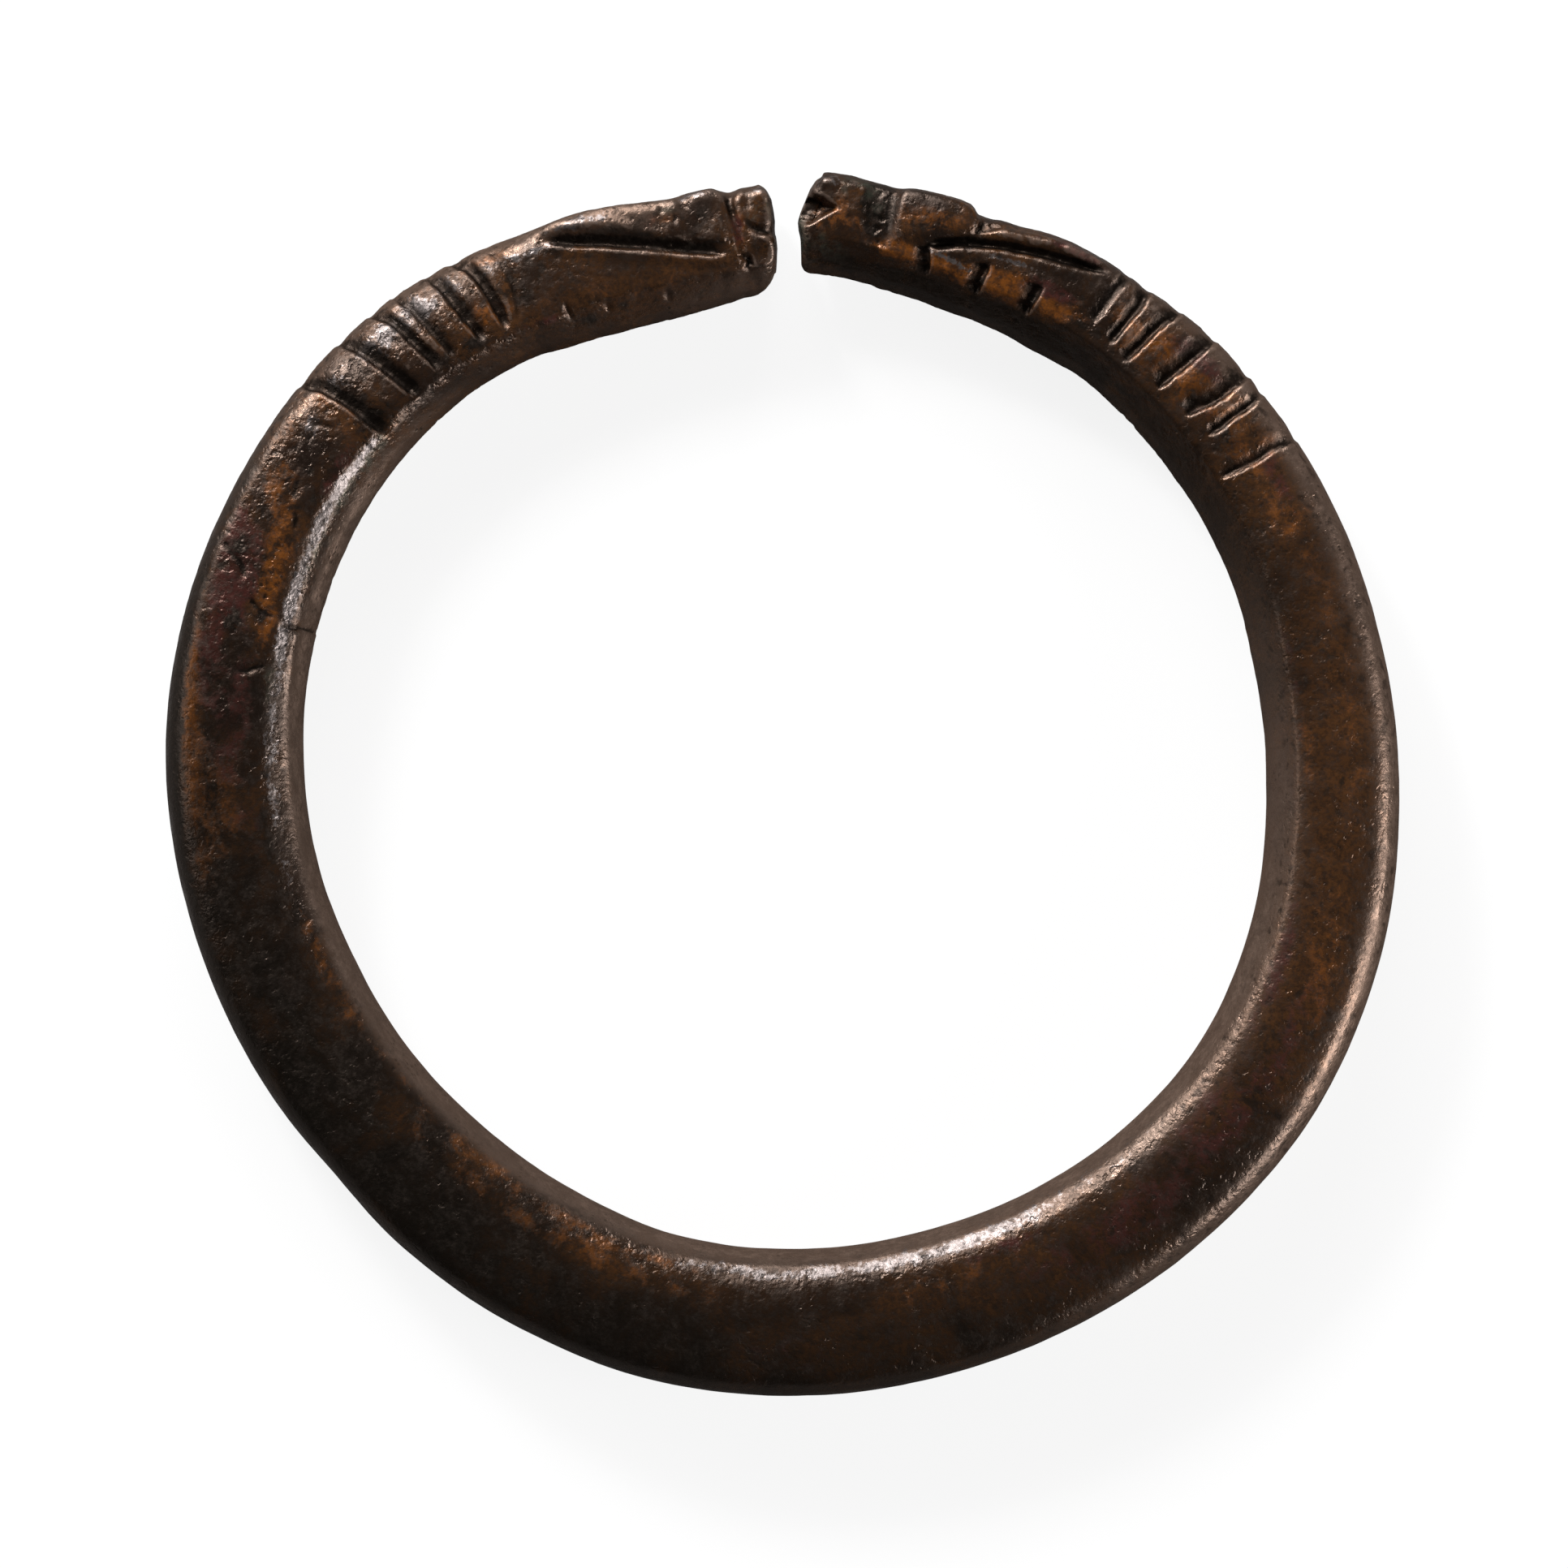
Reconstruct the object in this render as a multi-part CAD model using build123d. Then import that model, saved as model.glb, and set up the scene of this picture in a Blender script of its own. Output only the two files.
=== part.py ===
"""Animal-head bracelet: one open bangle of cast bronze, lying on its side.

A thick bar runs round the wrist and thins into two ribbed necks. Each neck ends in an animal head seen in
profile, and the two muzzles face each other across a narrow gap. Bar, necks and heads are one casting, so
they are one solid. Millimetres, with +Z along the wrist axis and the gap towards +Y. The origin is the
centre of the hoop, on the surface that the bangle lies on.
"""
import math
import os
from collections import namedtuple

from build123d import *

# Driving dimensions, in millimetres.
WRIST_RADIUS = 31.3        # mean radius of the hollow that the wrist goes through
BAR_WIDTH = 9.5            # radial width of the bar at the back of the hoop
BAR_HEIGHT = 8.4           # height of the bar along the wrist axis, before wear
REST_WEAR = 0.12           # worn off the underside, which leaves a flat to lie on
GAP_WIDTH = 1.54           # between the two muzzles
LEFT_HEAD_LENGTH = 16.6    # muzzle to the tip of the laid-back ear
RIGHT_HEAD_LENGTH = 19.1
LEFT_NECK_LENGTH = 16.2    # the ribbed stretch behind each head
RIGHT_NECK_LENGTH = 14.8
RELIEF = 0.55              # highest boss and deepest cut of the carving on the heads
LINE_WIDTH = 0.7           # width of the long groove below each ear
RIB_DEPTH = 0.42           # depth of the grooves across the necks
RIB_GROOVE_WIDTH = 0.9     # their width
RIB_SWELL = 0.12           # how far the metal swells between two grooves
GAP_MIDDLE = 89.45         # where round the hoop the gap lies, in degrees from +X

# Lengths along the bar are turned into degrees at the radius of the bar's middle.
MIDDLE_RADIUS = WRIST_RADIUS + 0.42 * BAR_WIDTH
MIDDLE_HEIGHT = BAR_HEIGHT / 2 - REST_WEAR

# The upper half of a section has 16 corners: the inner apex, one on the inner wall, the wall's edge, nine
# across the flank, three round the shoulder and the outer apex. The eighth corner lies in the long groove.
LINE_HOME = 0.6            # place of that corner where there is no long groove, as a share of the width
HALF_LINE_HOME = 0.08      # half the room that it then leaves on either side
LINE_MARGIN = 0.05         # how near it may come to either end of the flank
WALL_CORNER = (0.30, 0.42)   # the corner on the inner wall, as shares of the wall's width and height
CHEEK_SPREAD = (0.4, 0.8)    # the corners between the flank's inner end and the groove
LOBE_SPREAD = (0.4, 0.75)    # the corners between the groove and the shoulder
FLANK_END_RISE = 0.95      # height of the flank's two ends, as a share of its crest
SHOULDER_CORNERS = [(0.55, 0.86), (0.22, 0.66), (0.05, 0.36)]   # back from the outer apex, and up

# How much of the cheek's rise, the crown's rise and the groove's depth each of the 16 corners takes on a head.
CHEEK_TAKES = [0.0, 0.0, 0.2, 0.6, 1.0, 1.0, 1.0, 0.0, 0.0, 0.0, 0.0, 0.0, 0.0, 0.0, 0.0, 0.0]
CROWN_TAKES = [0.0, 0.0, 0.0, 0.0, 0.0, 0.0, 0.0, 0.0, 1.0, 1.0, 1.0, 0.8, 0.6, 0.4, 0.2, 0.0]
GROOVE_TAKES = [0.0, 0.0, 0.0, 0.0, 0.0, 0.0, 0.0, 1.0, 0.0, 0.0, 0.0, 0.0, 0.0, 0.0, 0.0, 0.0]

# A groove across a neck is shallower where it wraps round the outer side.
OUTER_CUT = 0.45           # share of its depth that is left at the outer apex
OUTER_CUT_FROM = 0.85      # share of the width where it starts to get shallower

# One cross section. inner is a share of WRIST_RADIUS, width of BAR_WIDTH and height of BAR_HEIGHT.
# wall, ledge and shoulder are shares of the local width: the slanting inner wall, the chamfer beside it and
# the rounded outer side. edge is the height of the wall's edge as a share of half the local height.
Section = namedtuple("Section", "along inner width height wall edge ledge shoulder")

# The hoop, as shares of the way round from the left neck, past the back, to the right neck.
HOOP = [
    Section(0.000, 1.035, 0.861, 0.86, 0.22, 0.80, 0.09, 0.13),
    Section(0.030, 1.028, 0.872, 0.93, 0.20, 0.80, 0.12, 0.13),
    Section(0.064, 1.017, 0.901, 0.97, 0.16, 0.79, 0.13, 0.12),
    Section(0.104, 1.004, 0.926, 1.00, 0.14, 0.78, 0.15, 0.12),
    Section(0.144, 0.989, 0.945, 1.00, 0.13, 0.77, 0.16, 0.11),
    Section(0.185, 0.975, 0.945, 1.00, 0.12, 0.77, 0.16, 0.12),
    Section(0.235, 0.956, 0.958, 1.00, 0.12, 0.77, 0.16, 0.13),
    Section(0.280, 0.948, 0.950, 1.00, 0.12, 0.78, 0.16, 0.14),
    Section(0.305, 0.944, 0.938, 1.00, 0.12, 0.78, 0.15, 0.14),
    Section(0.345, 0.940, 0.984, 1.00, 0.13, 0.78, 0.14, 0.15),
    Section(0.400, 0.945, 1.002, 1.00, 0.14, 0.78, 0.13, 0.15),
    Section(0.455, 0.958, 1.000, 1.00, 0.14, 0.78, 0.13, 0.15),
    Section(0.506, 0.961, 1.002, 1.00, 0.14, 0.78, 0.13, 0.15),
    Section(0.566, 0.967, 0.990, 1.00, 0.14, 0.78, 0.13, 0.15),
    Section(0.626, 0.983, 0.961, 1.00, 0.14, 0.78, 0.13, 0.15),
    Section(0.686, 1.002, 0.933, 1.00, 0.14, 0.79, 0.12, 0.15),
    Section(0.746, 1.015, 0.917, 1.00, 0.14, 0.80, 0.12, 0.15),
    Section(0.807, 1.010, 0.914, 1.00, 0.14, 0.80, 0.11, 0.15),
    Section(0.867, 1.001, 0.906, 1.00, 0.15, 0.80, 0.10, 0.15),
    Section(0.917, 1.004, 0.888, 0.97, 0.17, 0.80, 0.08, 0.14),
    Section(0.960, 1.018, 0.853, 0.91, 0.20, 0.81, 0.06, 0.13),
    Section(1.000, 1.028, 0.830, 0.86, 0.23, 0.82, 0.05, 0.12),
]

# The outline of each neck, as shares of its length from the head to the hoop. It ends on the hoop's own
# first or last section.
LEFT_NECK = [
    Section(0.000, 1.014, 0.834, 0.76, 0.20, 0.84, 0.04, 0.12),
    Section(0.087, 1.023, 0.822, 0.77, 0.18, 0.84, 0.04, 0.12),
    Section(0.240, 1.030, 0.828, 0.78, 0.18, 0.84, 0.05, 0.12),
    Section(0.468, 1.037, 0.842, 0.80, 0.18, 0.82, 0.06, 0.12),
    Section(0.772, 1.037, 0.856, 0.83, 0.19, 0.81, 0.08, 0.13),
    HOOP[0]._replace(along=1.0),
]
RIGHT_NECK = [
    Section(0.000, 1.040, 0.772, 0.76, 0.27, 0.86, 0.03, 0.12),
    Section(0.133, 1.045, 0.750, 0.77, 0.26, 0.86, 0.03, 0.12),
    Section(0.300, 1.042, 0.780, 0.79, 0.25, 0.86, 0.03, 0.12),
    Section(0.550, 1.036, 0.814, 0.81, 0.24, 0.84, 0.04, 0.12),
    Section(0.800, 1.030, 0.824, 0.84, 0.24, 0.82, 0.04, 0.12),
    HOOP[-1]._replace(along=1.0),
]

# The grooves across each neck. outer, middle and inner are where a groove runs at the outer side, on the
# flank and at the inner edge, as shares of the neck. wide and deep are shares of RIB_GROOVE_WIDTH and
# RIB_DEPTH.
Groove = namedtuple("Groove", "outer middle inner wide deep")
LEFT_GROOVES = [
    Groove(0.055, 0.080, 0.095, 0.8, 0.35),
    Groove(0.185, 0.145, 0.150, 1.2, 0.80),
    Groove(0.287, 0.258, 0.258, 0.9, 0.85),
    Groove(0.405, 0.369, 0.369, 0.7, 0.60),
    Groove(0.515, 0.458, 0.456, 0.8, 0.80),
    Groove(0.670, 0.606, 0.578, 0.9, 0.90),
    Groove(0.870, 0.790, 0.791, 1.0, 1.00),
]
RIGHT_GROOVES = [
    Groove(0.067, 0.054, 0.050, 1.2, 0.50),
    Groove(0.160, 0.162, 0.158, 1.1, 0.75),
    Groove(0.277, 0.264, 0.250, 1.0, 0.85),
    Groove(0.450, 0.435, 0.420, 1.3, 0.90),
    Groove(0.633, 0.617, 0.598, 1.5, 0.90),
    Groove(0.748, 0.730, 0.712, 1.2, 0.65),
    Groove(0.942, 0.930, 0.912, 0.8, 0.60),
]

# One section of a head, with along running from the muzzle to the ear's tip. lean is how much further back
# the outer side lies than the flank, and the inner side forward. line is the place of the long groove across
# the width. groove, crown and cheek are shares of RELIEF: the long groove's depth, and how far the metal
# stands out above it and below it.
HeadSection = namedtuple("HeadSection", "along lean inner width height wall shoulder line groove crown cheek")
HEAD_EDGE = 0.86           # height of the cheek's inner edge, as a share of half the height
HEAD_LEDGE = 0.03          # its slim chamfer, as a share of the width

LEFT_HEAD = [
    HeadSection(0.000, 0.000, 1.085, 0.30, 0.42, 0.25, 0.20, 0.56, 0.3, 0.0, 0.0),
    HeadSection(0.010, 0.000, 1.054, 0.50, 0.54, 0.24, 0.18, 0.56, 0.5, 0.1, 0.1),
    HeadSection(0.028, 0.000, 1.042, 0.62, 0.61, 0.23, 0.15, 0.57, 0.7, 0.4, 0.3),
    HeadSection(0.050, 0.005, 1.033, 0.69, 0.65, 0.23, 0.12, 0.58, 0.7, 0.5, 0.4),
    HeadSection(0.085, 0.015, 1.020, 0.72, 0.67, 0.23, 0.11, 0.60, 0.7, 0.3, 0.4),
    HeadSection(0.118, 0.030, 1.014, 0.74, 0.68, 0.23, 0.11, 0.60, 0.6, 0.2, 0.2),
    HeadSection(0.138, 0.036, 1.011, 0.74, 0.69, 0.22, 0.11, 0.55, 1.0, -0.7, -0.8),
    HeadSection(0.158, 0.036, 1.009, 0.74, 0.69, 0.22, 0.11, 0.50, 1.0, -0.6, -0.5),
    HeadSection(0.176, 0.030, 1.007, 0.75, 0.69, 0.22, 0.11, 0.47, 1.0, 0.5, 0.2),
    HeadSection(0.210, 0.015, 1.003, 0.79, 0.70, 0.23, 0.10, 0.48, 1.0, 0.7, 0.4),
    HeadSection(0.260, 0.000, 0.999, 0.80, 0.70, 0.24, 0.10, 0.50, 1.0, 0.8, 0.4),
    HeadSection(0.310, 0.000, 0.996, 0.81, 0.70, 0.25, 0.10, 0.52, 1.0, 0.6, 0.4),
    HeadSection(0.335, 0.000, 0.994, 0.80, 0.71, 0.25, 0.10, 0.54, 1.0, 0.0, 0.4),
    HeadSection(0.390, 0.000, 0.992, 0.80, 0.71, 0.26, 0.10, 0.57, 1.0, 0.0, 0.4),
    HeadSection(0.440, 0.000, 0.990, 0.82, 0.71, 0.26, 0.10, 0.61, 1.0, 0.3, 0.4),
    HeadSection(0.500, 0.000, 0.990, 0.83, 0.72, 0.26, 0.10, 0.64, 1.0, 0.5, 0.4),
    HeadSection(0.567, 0.000, 0.991, 0.84, 0.72, 0.26, 0.10, 0.68, 1.0, 0.6, 0.4),
    HeadSection(0.641, 0.000, 0.993, 0.85, 0.73, 0.25, 0.10, 0.72, 1.0, 0.7, 0.3),
    HeadSection(0.715, 0.000, 0.995, 0.86, 0.73, 0.25, 0.10, 0.77, 0.8, 0.6, 0.3),
    HeadSection(0.789, 0.000, 0.999, 0.86, 0.74, 0.24, 0.10, 0.81, 0.6, 0.4, 0.2),
    HeadSection(0.835, 0.000, 1.002, 0.85, 0.74, 0.23, 0.11, 0.83, 0.3, 0.1, 0.1),
    HeadSection(0.857, 0.000, 1.003, 0.85, 0.74, 0.23, 0.11, 0.80, 0.0, 0.0, -0.4),
    HeadSection(0.875, 0.000, 1.004, 0.84, 0.74, 0.23, 0.11, 0.76, 0.0, 0.0, 0.0),
    HeadSection(0.937, 0.000, 1.008, 0.84, 0.75, 0.21, 0.12, 0.68, 0.0, 0.0, 0.0),
]
RIGHT_HEAD = [
    HeadSection(0.000, 0.000, 1.105, 0.37, 0.46, 0.22, 0.20, 0.66, 0.8, 0.0, 0.0),
    HeadSection(0.012, 0.000, 1.080, 0.53, 0.56, 0.26, 0.16, 0.66, 1.6, 0.2, 0.1),
    HeadSection(0.039, 0.000, 1.064, 0.62, 0.62, 0.29, 0.12, 0.67, 1.9, 0.4, 0.3),
    HeadSection(0.071, 0.000, 1.060, 0.69, 0.65, 0.31, 0.10, 0.67, 1.8, 0.6, 0.4),
    HeadSection(0.100, 0.000, 1.058, 0.70, 0.66, 0.32, 0.10, 0.66, 1.2, 0.4, 0.3),
    HeadSection(0.120, 0.000, 1.058, 0.70, 0.66, 0.32, 0.10, 0.64, 0.2, 0.2, 0.2),
    HeadSection(0.190, 0.000, 1.055, 0.69, 0.67, 0.33, 0.10, 0.60, 0.0, 0.1, 0.2),
    HeadSection(0.203, 0.000, 1.054, 0.69, 0.67, 0.33, 0.10, 0.58, 0.0, -0.6, -0.6),
    HeadSection(0.292, 0.000, 1.047, 0.69, 0.68, 0.33, 0.10, 0.54, 0.0, -0.6, -0.6),
    HeadSection(0.306, 0.000, 1.046, 0.70, 0.68, 0.33, 0.10, 0.50, 0.4, 0.5, 0.1),
    HeadSection(0.340, 0.000, 1.044, 0.72, 0.69, 0.32, 0.10, 0.49, 0.6, 0.8, 0.2),
    HeadSection(0.385, 0.000, 1.042, 0.74, 0.69, 0.31, 0.10, 0.48, 0.8, 0.9, 0.3),
    HeadSection(0.405, 0.000, 1.042, 0.74, 0.69, 0.31, 0.10, 0.48, 0.8, 0.9, -0.8),
    HeadSection(0.425, 0.000, 1.042, 0.74, 0.70, 0.31, 0.10, 0.50, 0.9, 0.9, 0.4),
    HeadSection(0.490, 0.000, 1.039, 0.75, 0.70, 0.31, 0.10, 0.57, 1.0, 0.8, 0.4),
    HeadSection(0.528, 0.000, 1.037, 0.74, 0.71, 0.31, 0.10, 0.63, 1.0, 0.6, 0.4),
    HeadSection(0.552, 0.000, 1.037, 0.70, 0.71, 0.31, 0.10, 0.67, 0.8, 0.1, 0.4),
    HeadSection(0.592, 0.000, 1.037, 0.70, 0.71, 0.31, 0.10, 0.70, 0.9, 0.2, 0.3),
    HeadSection(0.612, 0.000, 1.037, 0.71, 0.72, 0.31, 0.10, 0.71, 0.9, 0.2, -0.7),
    HeadSection(0.632, 0.000, 1.038, 0.71, 0.72, 0.31, 0.10, 0.72, 0.9, 0.3, 0.3),
    HeadSection(0.684, 0.000, 1.039, 0.72, 0.72, 0.30, 0.10, 0.75, 0.9, 0.3, 0.3),
    HeadSection(0.748, 0.000, 1.038, 0.75, 0.73, 0.30, 0.10, 0.78, 0.9, 0.3, 0.3),
    HeadSection(0.790, 0.000, 1.038, 0.76, 0.73, 0.30, 0.10, 0.80, 0.8, 0.2, 0.3),
    HeadSection(0.808, 0.000, 1.038, 0.77, 0.74, 0.30, 0.10, 0.81, 0.7, 0.2, -0.7),
    HeadSection(0.826, 0.000, 1.038, 0.77, 0.74, 0.30, 0.10, 0.82, 0.7, 0.2, 0.2),
    HeadSection(0.890, 0.000, 1.037, 0.78, 0.75, 0.29, 0.10, 0.84, 0.5, 0.1, 0.1),
    HeadSection(0.950, 0.000, 1.038, 0.78, 0.75, 0.28, 0.11, 0.78, 0.2, 0.0, 0.0),
]


def degrees_of(length):
    """Turns a length along the middle of the bar into degrees round the hoop."""
    return math.degrees(length / MIDDLE_RADIUS)


def mix(start, end, share):
    """Goes from start to end by a share."""
    return start + (end - start) * share


def section_at(rows, along):
    """Reads a table of sections between its rows."""
    for before, after in zip(rows, rows[1:]):
        if along <= after.along:
            share = (along - before.along) / (after.along - before.along)
            return Section(*(mix(a, b, share) for a, b in zip(before, after)))
    return rows[-1]


def upper_corners(section, line=LINE_HOME, half_line=HALF_LINE_HOME):
    """Places the corners of a section's upper half, from the inner apex to the outer one.

    Each is a pair: the share of the width and the share of half the height.
    """
    wall, edge = section.wall, section.edge
    start = wall + section.ledge
    stop = 1 - section.shoulder
    line = min(max(line, start + 2 * LINE_MARGIN), stop - LINE_MARGIN)
    half_line = min(half_line, 0.8 * (line - start), 0.8 * (stop - line))
    low, high = line - half_line, line + half_line
    flank = [start] + [mix(start, low, share) for share in CHEEK_SPREAD] + [low, line, high]
    flank += [mix(high, stop, share) for share in LOBE_SPREAD] + [stop]
    crests = [math.sin(math.pi * (share - start) / (stop - start)) for share in flank]
    face = [(share, mix(FLANK_END_RISE, 1.0, crest)) for share, crest in zip(flank, crests)]
    shoulder = [(1 - back * section.shoulder, rise) for back, rise in SHOULDER_CORNERS]
    inner = [(0.0, 0.0), (WALL_CORNER[0] * wall, WALL_CORNER[1] * edge), (wall, edge)]
    return inner + face + shoulder + [(1.0, 0.0)]


def outline(section, places):
    """Gives the corners of the upper half as radius and height above the bar's middle."""
    inside = section.inner * WRIST_RADIUS
    width = section.width * BAR_WIDTH
    half_height = section.height * BAR_HEIGHT / 2
    return [(inside + share * width, rise * half_height) for share, rise in places]


def raised(corners, rises):
    """Moves each corner out along the section's own normal by its rise in millimetres."""
    moved = []
    for index, ((radius, height), rise) in enumerate(zip(corners, rises)):
        before = corners[max(index - 1, 0)]
        after = corners[min(index + 1, len(corners) - 1)]
        run, climb = after[0] - before[0], after[1] - before[1]
        length = math.hypot(run, climb)
        moved.append((radius - rise * climb / length, height + rise * run / length))
    return moved


def closed_ring(corners, angles):
    """Joins an upper half and its mirror image below into one closed wire round the bar."""
    def point(radius, height, angle):
        turn = math.radians(angle)
        return Vector(radius * math.cos(turn), radius * math.sin(turn), MIDDLE_HEIGHT + height)

    upper = [point(radius, height, angle) for (radius, height), angle in zip(corners, angles)]
    lower = [point(radius, -height, angle) for (radius, height), angle in zip(corners, angles)]
    return Wire.make_polygon(upper + lower[-2:0:-1], close=True)


def across(outer, middle, inner, share):
    """Follows a curve that passes its inner, middle and outer places at shares 0.2, 0.6 and 1."""
    place = (share - 0.2) / 0.4
    return (inner * (place - 1) * (place - 2) / 2 - middle * place * (place - 2)
            + outer * place * (place - 1) / 2)


def hoop_ring(section, angle):
    """Makes the wire of one plain section of the hoop."""
    corners = outline(section, upper_corners(section))
    return closed_ring(corners, [angle] * len(corners))


def groove_reach(section, share):
    """Says how much of a neck groove's depth is left at a share of the width."""
    fade = section.wall + section.ledge
    if share < OUTER_CUT_FROM:
        return min(1.0, max(0.0, (share - section.wall) / fade))
    return mix(1.0, OUTER_CUT, (share - OUTER_CUT_FROM) / (1 - OUTER_CUT_FROM))


def neck_rings(rows, grooves, start, span):
    """Makes the wires of one neck: three for each groove and one on the swell between two grooves.

    start is the angle where the head ends, and span the signed angle that the neck takes.
    """
    degrees = abs(span)
    stations = []
    for before, groove in zip([None] + grooves, grooves):
        if before:
            swell = RIB_SWELL * min(before.deep, groove.deep)
            stations.append([mix(a, b, 0.5) for a, b in zip(before[:3], groove[:3])] + [swell])
        half = degrees_of(RIB_GROOVE_WIDTH * groove.wide / 2) / degrees
        for shift, depth in ((-half, 0.0), (0.0, -RIB_DEPTH * groove.deep), (half, 0.0)):
            stations.append([place + shift for place in groove[:3]] + [depth])
    rings = []
    for outer, middle, inner, rise in stations:
        section = section_at(rows, middle)
        places = upper_corners(section)
        rises = [rise * groove_reach(section, share) for share, _ in places]
        angles = [start + span * across(outer, middle, inner, share) for share, _ in places]
        rings.append(closed_ring(raised(outline(section, places), rises), angles))
    return rings


def head_rings(rows, start, span):
    """Makes the wires of one head, from the muzzle to the ear's tip."""
    rings = []
    for row in rows:
        section = Section(row.along, row.inner, row.width, row.height, row.wall, HEAD_EDGE, HEAD_LEDGE,
                          row.shoulder)
        half_line = LINE_WIDTH / 2 / (row.width * BAR_WIDTH)
        places = upper_corners(section, row.line, half_line)
        crown, cheek, groove = (RELIEF * value for value in (row.crown, row.cheek, row.groove))
        sunk = min(crown, cheek) - groove
        rises = [cheek * low + crown * high + sunk * line
                 for low, high, line in zip(CHEEK_TAKES, CROWN_TAKES, GROOVE_TAKES)]
        angles = [start + span * across(row.along + row.lean, row.along, row.along - row.lean, share)
                  for share, _ in places]
        rings.append(closed_ring(raised(outline(section, places), rises), angles))
    return rings


def side_rings(head, neck, grooves, muzzle, head_span, neck_span):
    """Makes the wires of a head and its neck, from the muzzle back to the hoop."""
    neck_start = muzzle + head_span
    rings = head_rings(head, muzzle, head_span)
    rings.append(hoop_ring(neck[0], neck_start))
    rings += neck_rings(neck, grooves, neck_start, neck_span)
    rings.append(hoop_ring(neck[-1], neck_start + neck_span))
    return rings


def open_skin(rings, ruled):
    """Lofts a skin through the wires, wears its underside flat and leaves its two ends open."""
    body = Solid.make_loft(rings, ruled)
    if body.bounding_box().min.Z < 0:
        body = split(body, bisect_by=Plane.XY, keep=Keep.TOP).solids()[0]
    return [face for face in body.faces() if face.geom_type != GeomType.PLANE or face.normal_at().Z < -0.5]


def main():
    """Builds the bangle as one solid and writes it."""
    half_gap = degrees_of(GAP_WIDTH / 2)
    left_muzzle = GAP_MIDDLE + half_gap
    right_muzzle = GAP_MIDDLE - half_gap
    left_head, left_neck = degrees_of(LEFT_HEAD_LENGTH), degrees_of(LEFT_NECK_LENGTH)
    right_head, right_neck = degrees_of(RIGHT_HEAD_LENGTH), degrees_of(RIGHT_NECK_LENGTH)
    left = side_rings(LEFT_HEAD, LEFT_NECK, LEFT_GROOVES, left_muzzle, left_head, left_neck)
    right = side_rings(RIGHT_HEAD, RIGHT_NECK, RIGHT_GROOVES, right_muzzle, -right_head, -right_neck)
    hoop_start = left_muzzle + left_head + left_neck
    hoop_stop = 360 + right_muzzle - right_head - right_neck
    hoop = [hoop_ring(row, mix(hoop_start, hoop_stop, row.along)) for row in HOOP]
    faces = open_skin(left, True) + open_skin(right, True) + open_skin(hoop, False)
    muzzle_ends = [Face(left[0]), Face(right[0])]
    bracelet = Solid(Shell(faces + muzzle_ends))
    print(f"bracelet: {bracelet.volume:.0f} mm3 in {len(faces) + len(muzzle_ends)} faces")
    os.makedirs("parts", exist_ok=True)
    export_step(bracelet, "parts/bracelet.step")


main()
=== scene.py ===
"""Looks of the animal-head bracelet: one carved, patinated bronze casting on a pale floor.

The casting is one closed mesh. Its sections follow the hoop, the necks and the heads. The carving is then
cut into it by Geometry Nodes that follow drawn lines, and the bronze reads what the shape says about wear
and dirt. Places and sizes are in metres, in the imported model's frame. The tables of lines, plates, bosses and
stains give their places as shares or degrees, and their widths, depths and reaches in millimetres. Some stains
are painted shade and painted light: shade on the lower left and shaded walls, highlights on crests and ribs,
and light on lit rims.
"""
import logging
import math
from dataclasses import dataclass, field
from enum import Enum
from typing import Dict, List, NamedTuple, Optional, Sequence, Tuple

import bpy
import numpy as np
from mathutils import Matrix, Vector


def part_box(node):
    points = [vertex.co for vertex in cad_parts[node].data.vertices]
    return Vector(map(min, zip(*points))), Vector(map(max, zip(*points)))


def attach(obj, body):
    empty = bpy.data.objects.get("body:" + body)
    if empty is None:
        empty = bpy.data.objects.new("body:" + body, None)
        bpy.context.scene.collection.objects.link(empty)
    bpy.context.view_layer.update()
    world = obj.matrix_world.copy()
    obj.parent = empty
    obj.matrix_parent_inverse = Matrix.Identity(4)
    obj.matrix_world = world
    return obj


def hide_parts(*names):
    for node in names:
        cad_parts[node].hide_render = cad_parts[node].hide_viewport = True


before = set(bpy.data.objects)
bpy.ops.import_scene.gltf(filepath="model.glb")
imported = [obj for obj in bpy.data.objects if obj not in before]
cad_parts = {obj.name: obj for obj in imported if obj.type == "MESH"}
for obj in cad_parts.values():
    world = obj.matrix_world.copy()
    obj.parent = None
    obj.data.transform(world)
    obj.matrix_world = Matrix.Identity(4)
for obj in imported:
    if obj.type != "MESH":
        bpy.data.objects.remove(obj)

log = logging.getLogger("bracelet")
NODE = "bracelet"
BODY = "root"
MM = 0.001
TINY = 1e-12

Pair = Tuple[float, float]
Pairs = Sequence[Pair]
Array = np.ndarray
Mesh = bpy.types.Mesh
Socket = bpy.types.NodeSocket
Colour = Tuple[float, float, float, float]
Row = Dict[str, float]


class Side(Enum):
    """The two ends of the bar. The value is the turning direction from the gap towards the hoop."""

    LEFT = 1
    RIGHT = -1


class Mark(Enum):
    """The layers of carving, which are cut one after another."""

    GROOVE = "grooves"
    RIDGE = "ridges"
    NICK = "nicks"


class Section(NamedTuple):
    """One cross section, with its lengths as shares of the named sizes.

    Along is its place on its stretch of the bar. Inner is a share of the wrist's radius, width and height are
    shares of the bar's. Across the width come the slanting wall, which rises to the edge's height, the ledge
    that is chamfered, the flank, and the shoulder. Soft says how far the corners are rounded.
    """

    along: float
    inner: float
    width: float
    height: float
    wall: float
    edge: float = 0.86
    ledge: float = 0.03
    shoulder: float = 0.10
    soft: float = 0.12


class Stroke(NamedTuple):
    """A line drawn on a flank, in (along, across) pairs on a head or a neck.

    Fade is the share of its length over which each end dies away. Lean makes one side of it wider: towards
    the muzzle for a line drawn inwards, towards the wrist for one drawn away from the muzzle.
    """

    points: Pairs
    half_width: float
    depth: float
    fade: float
    lean: float = 0.0


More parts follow.
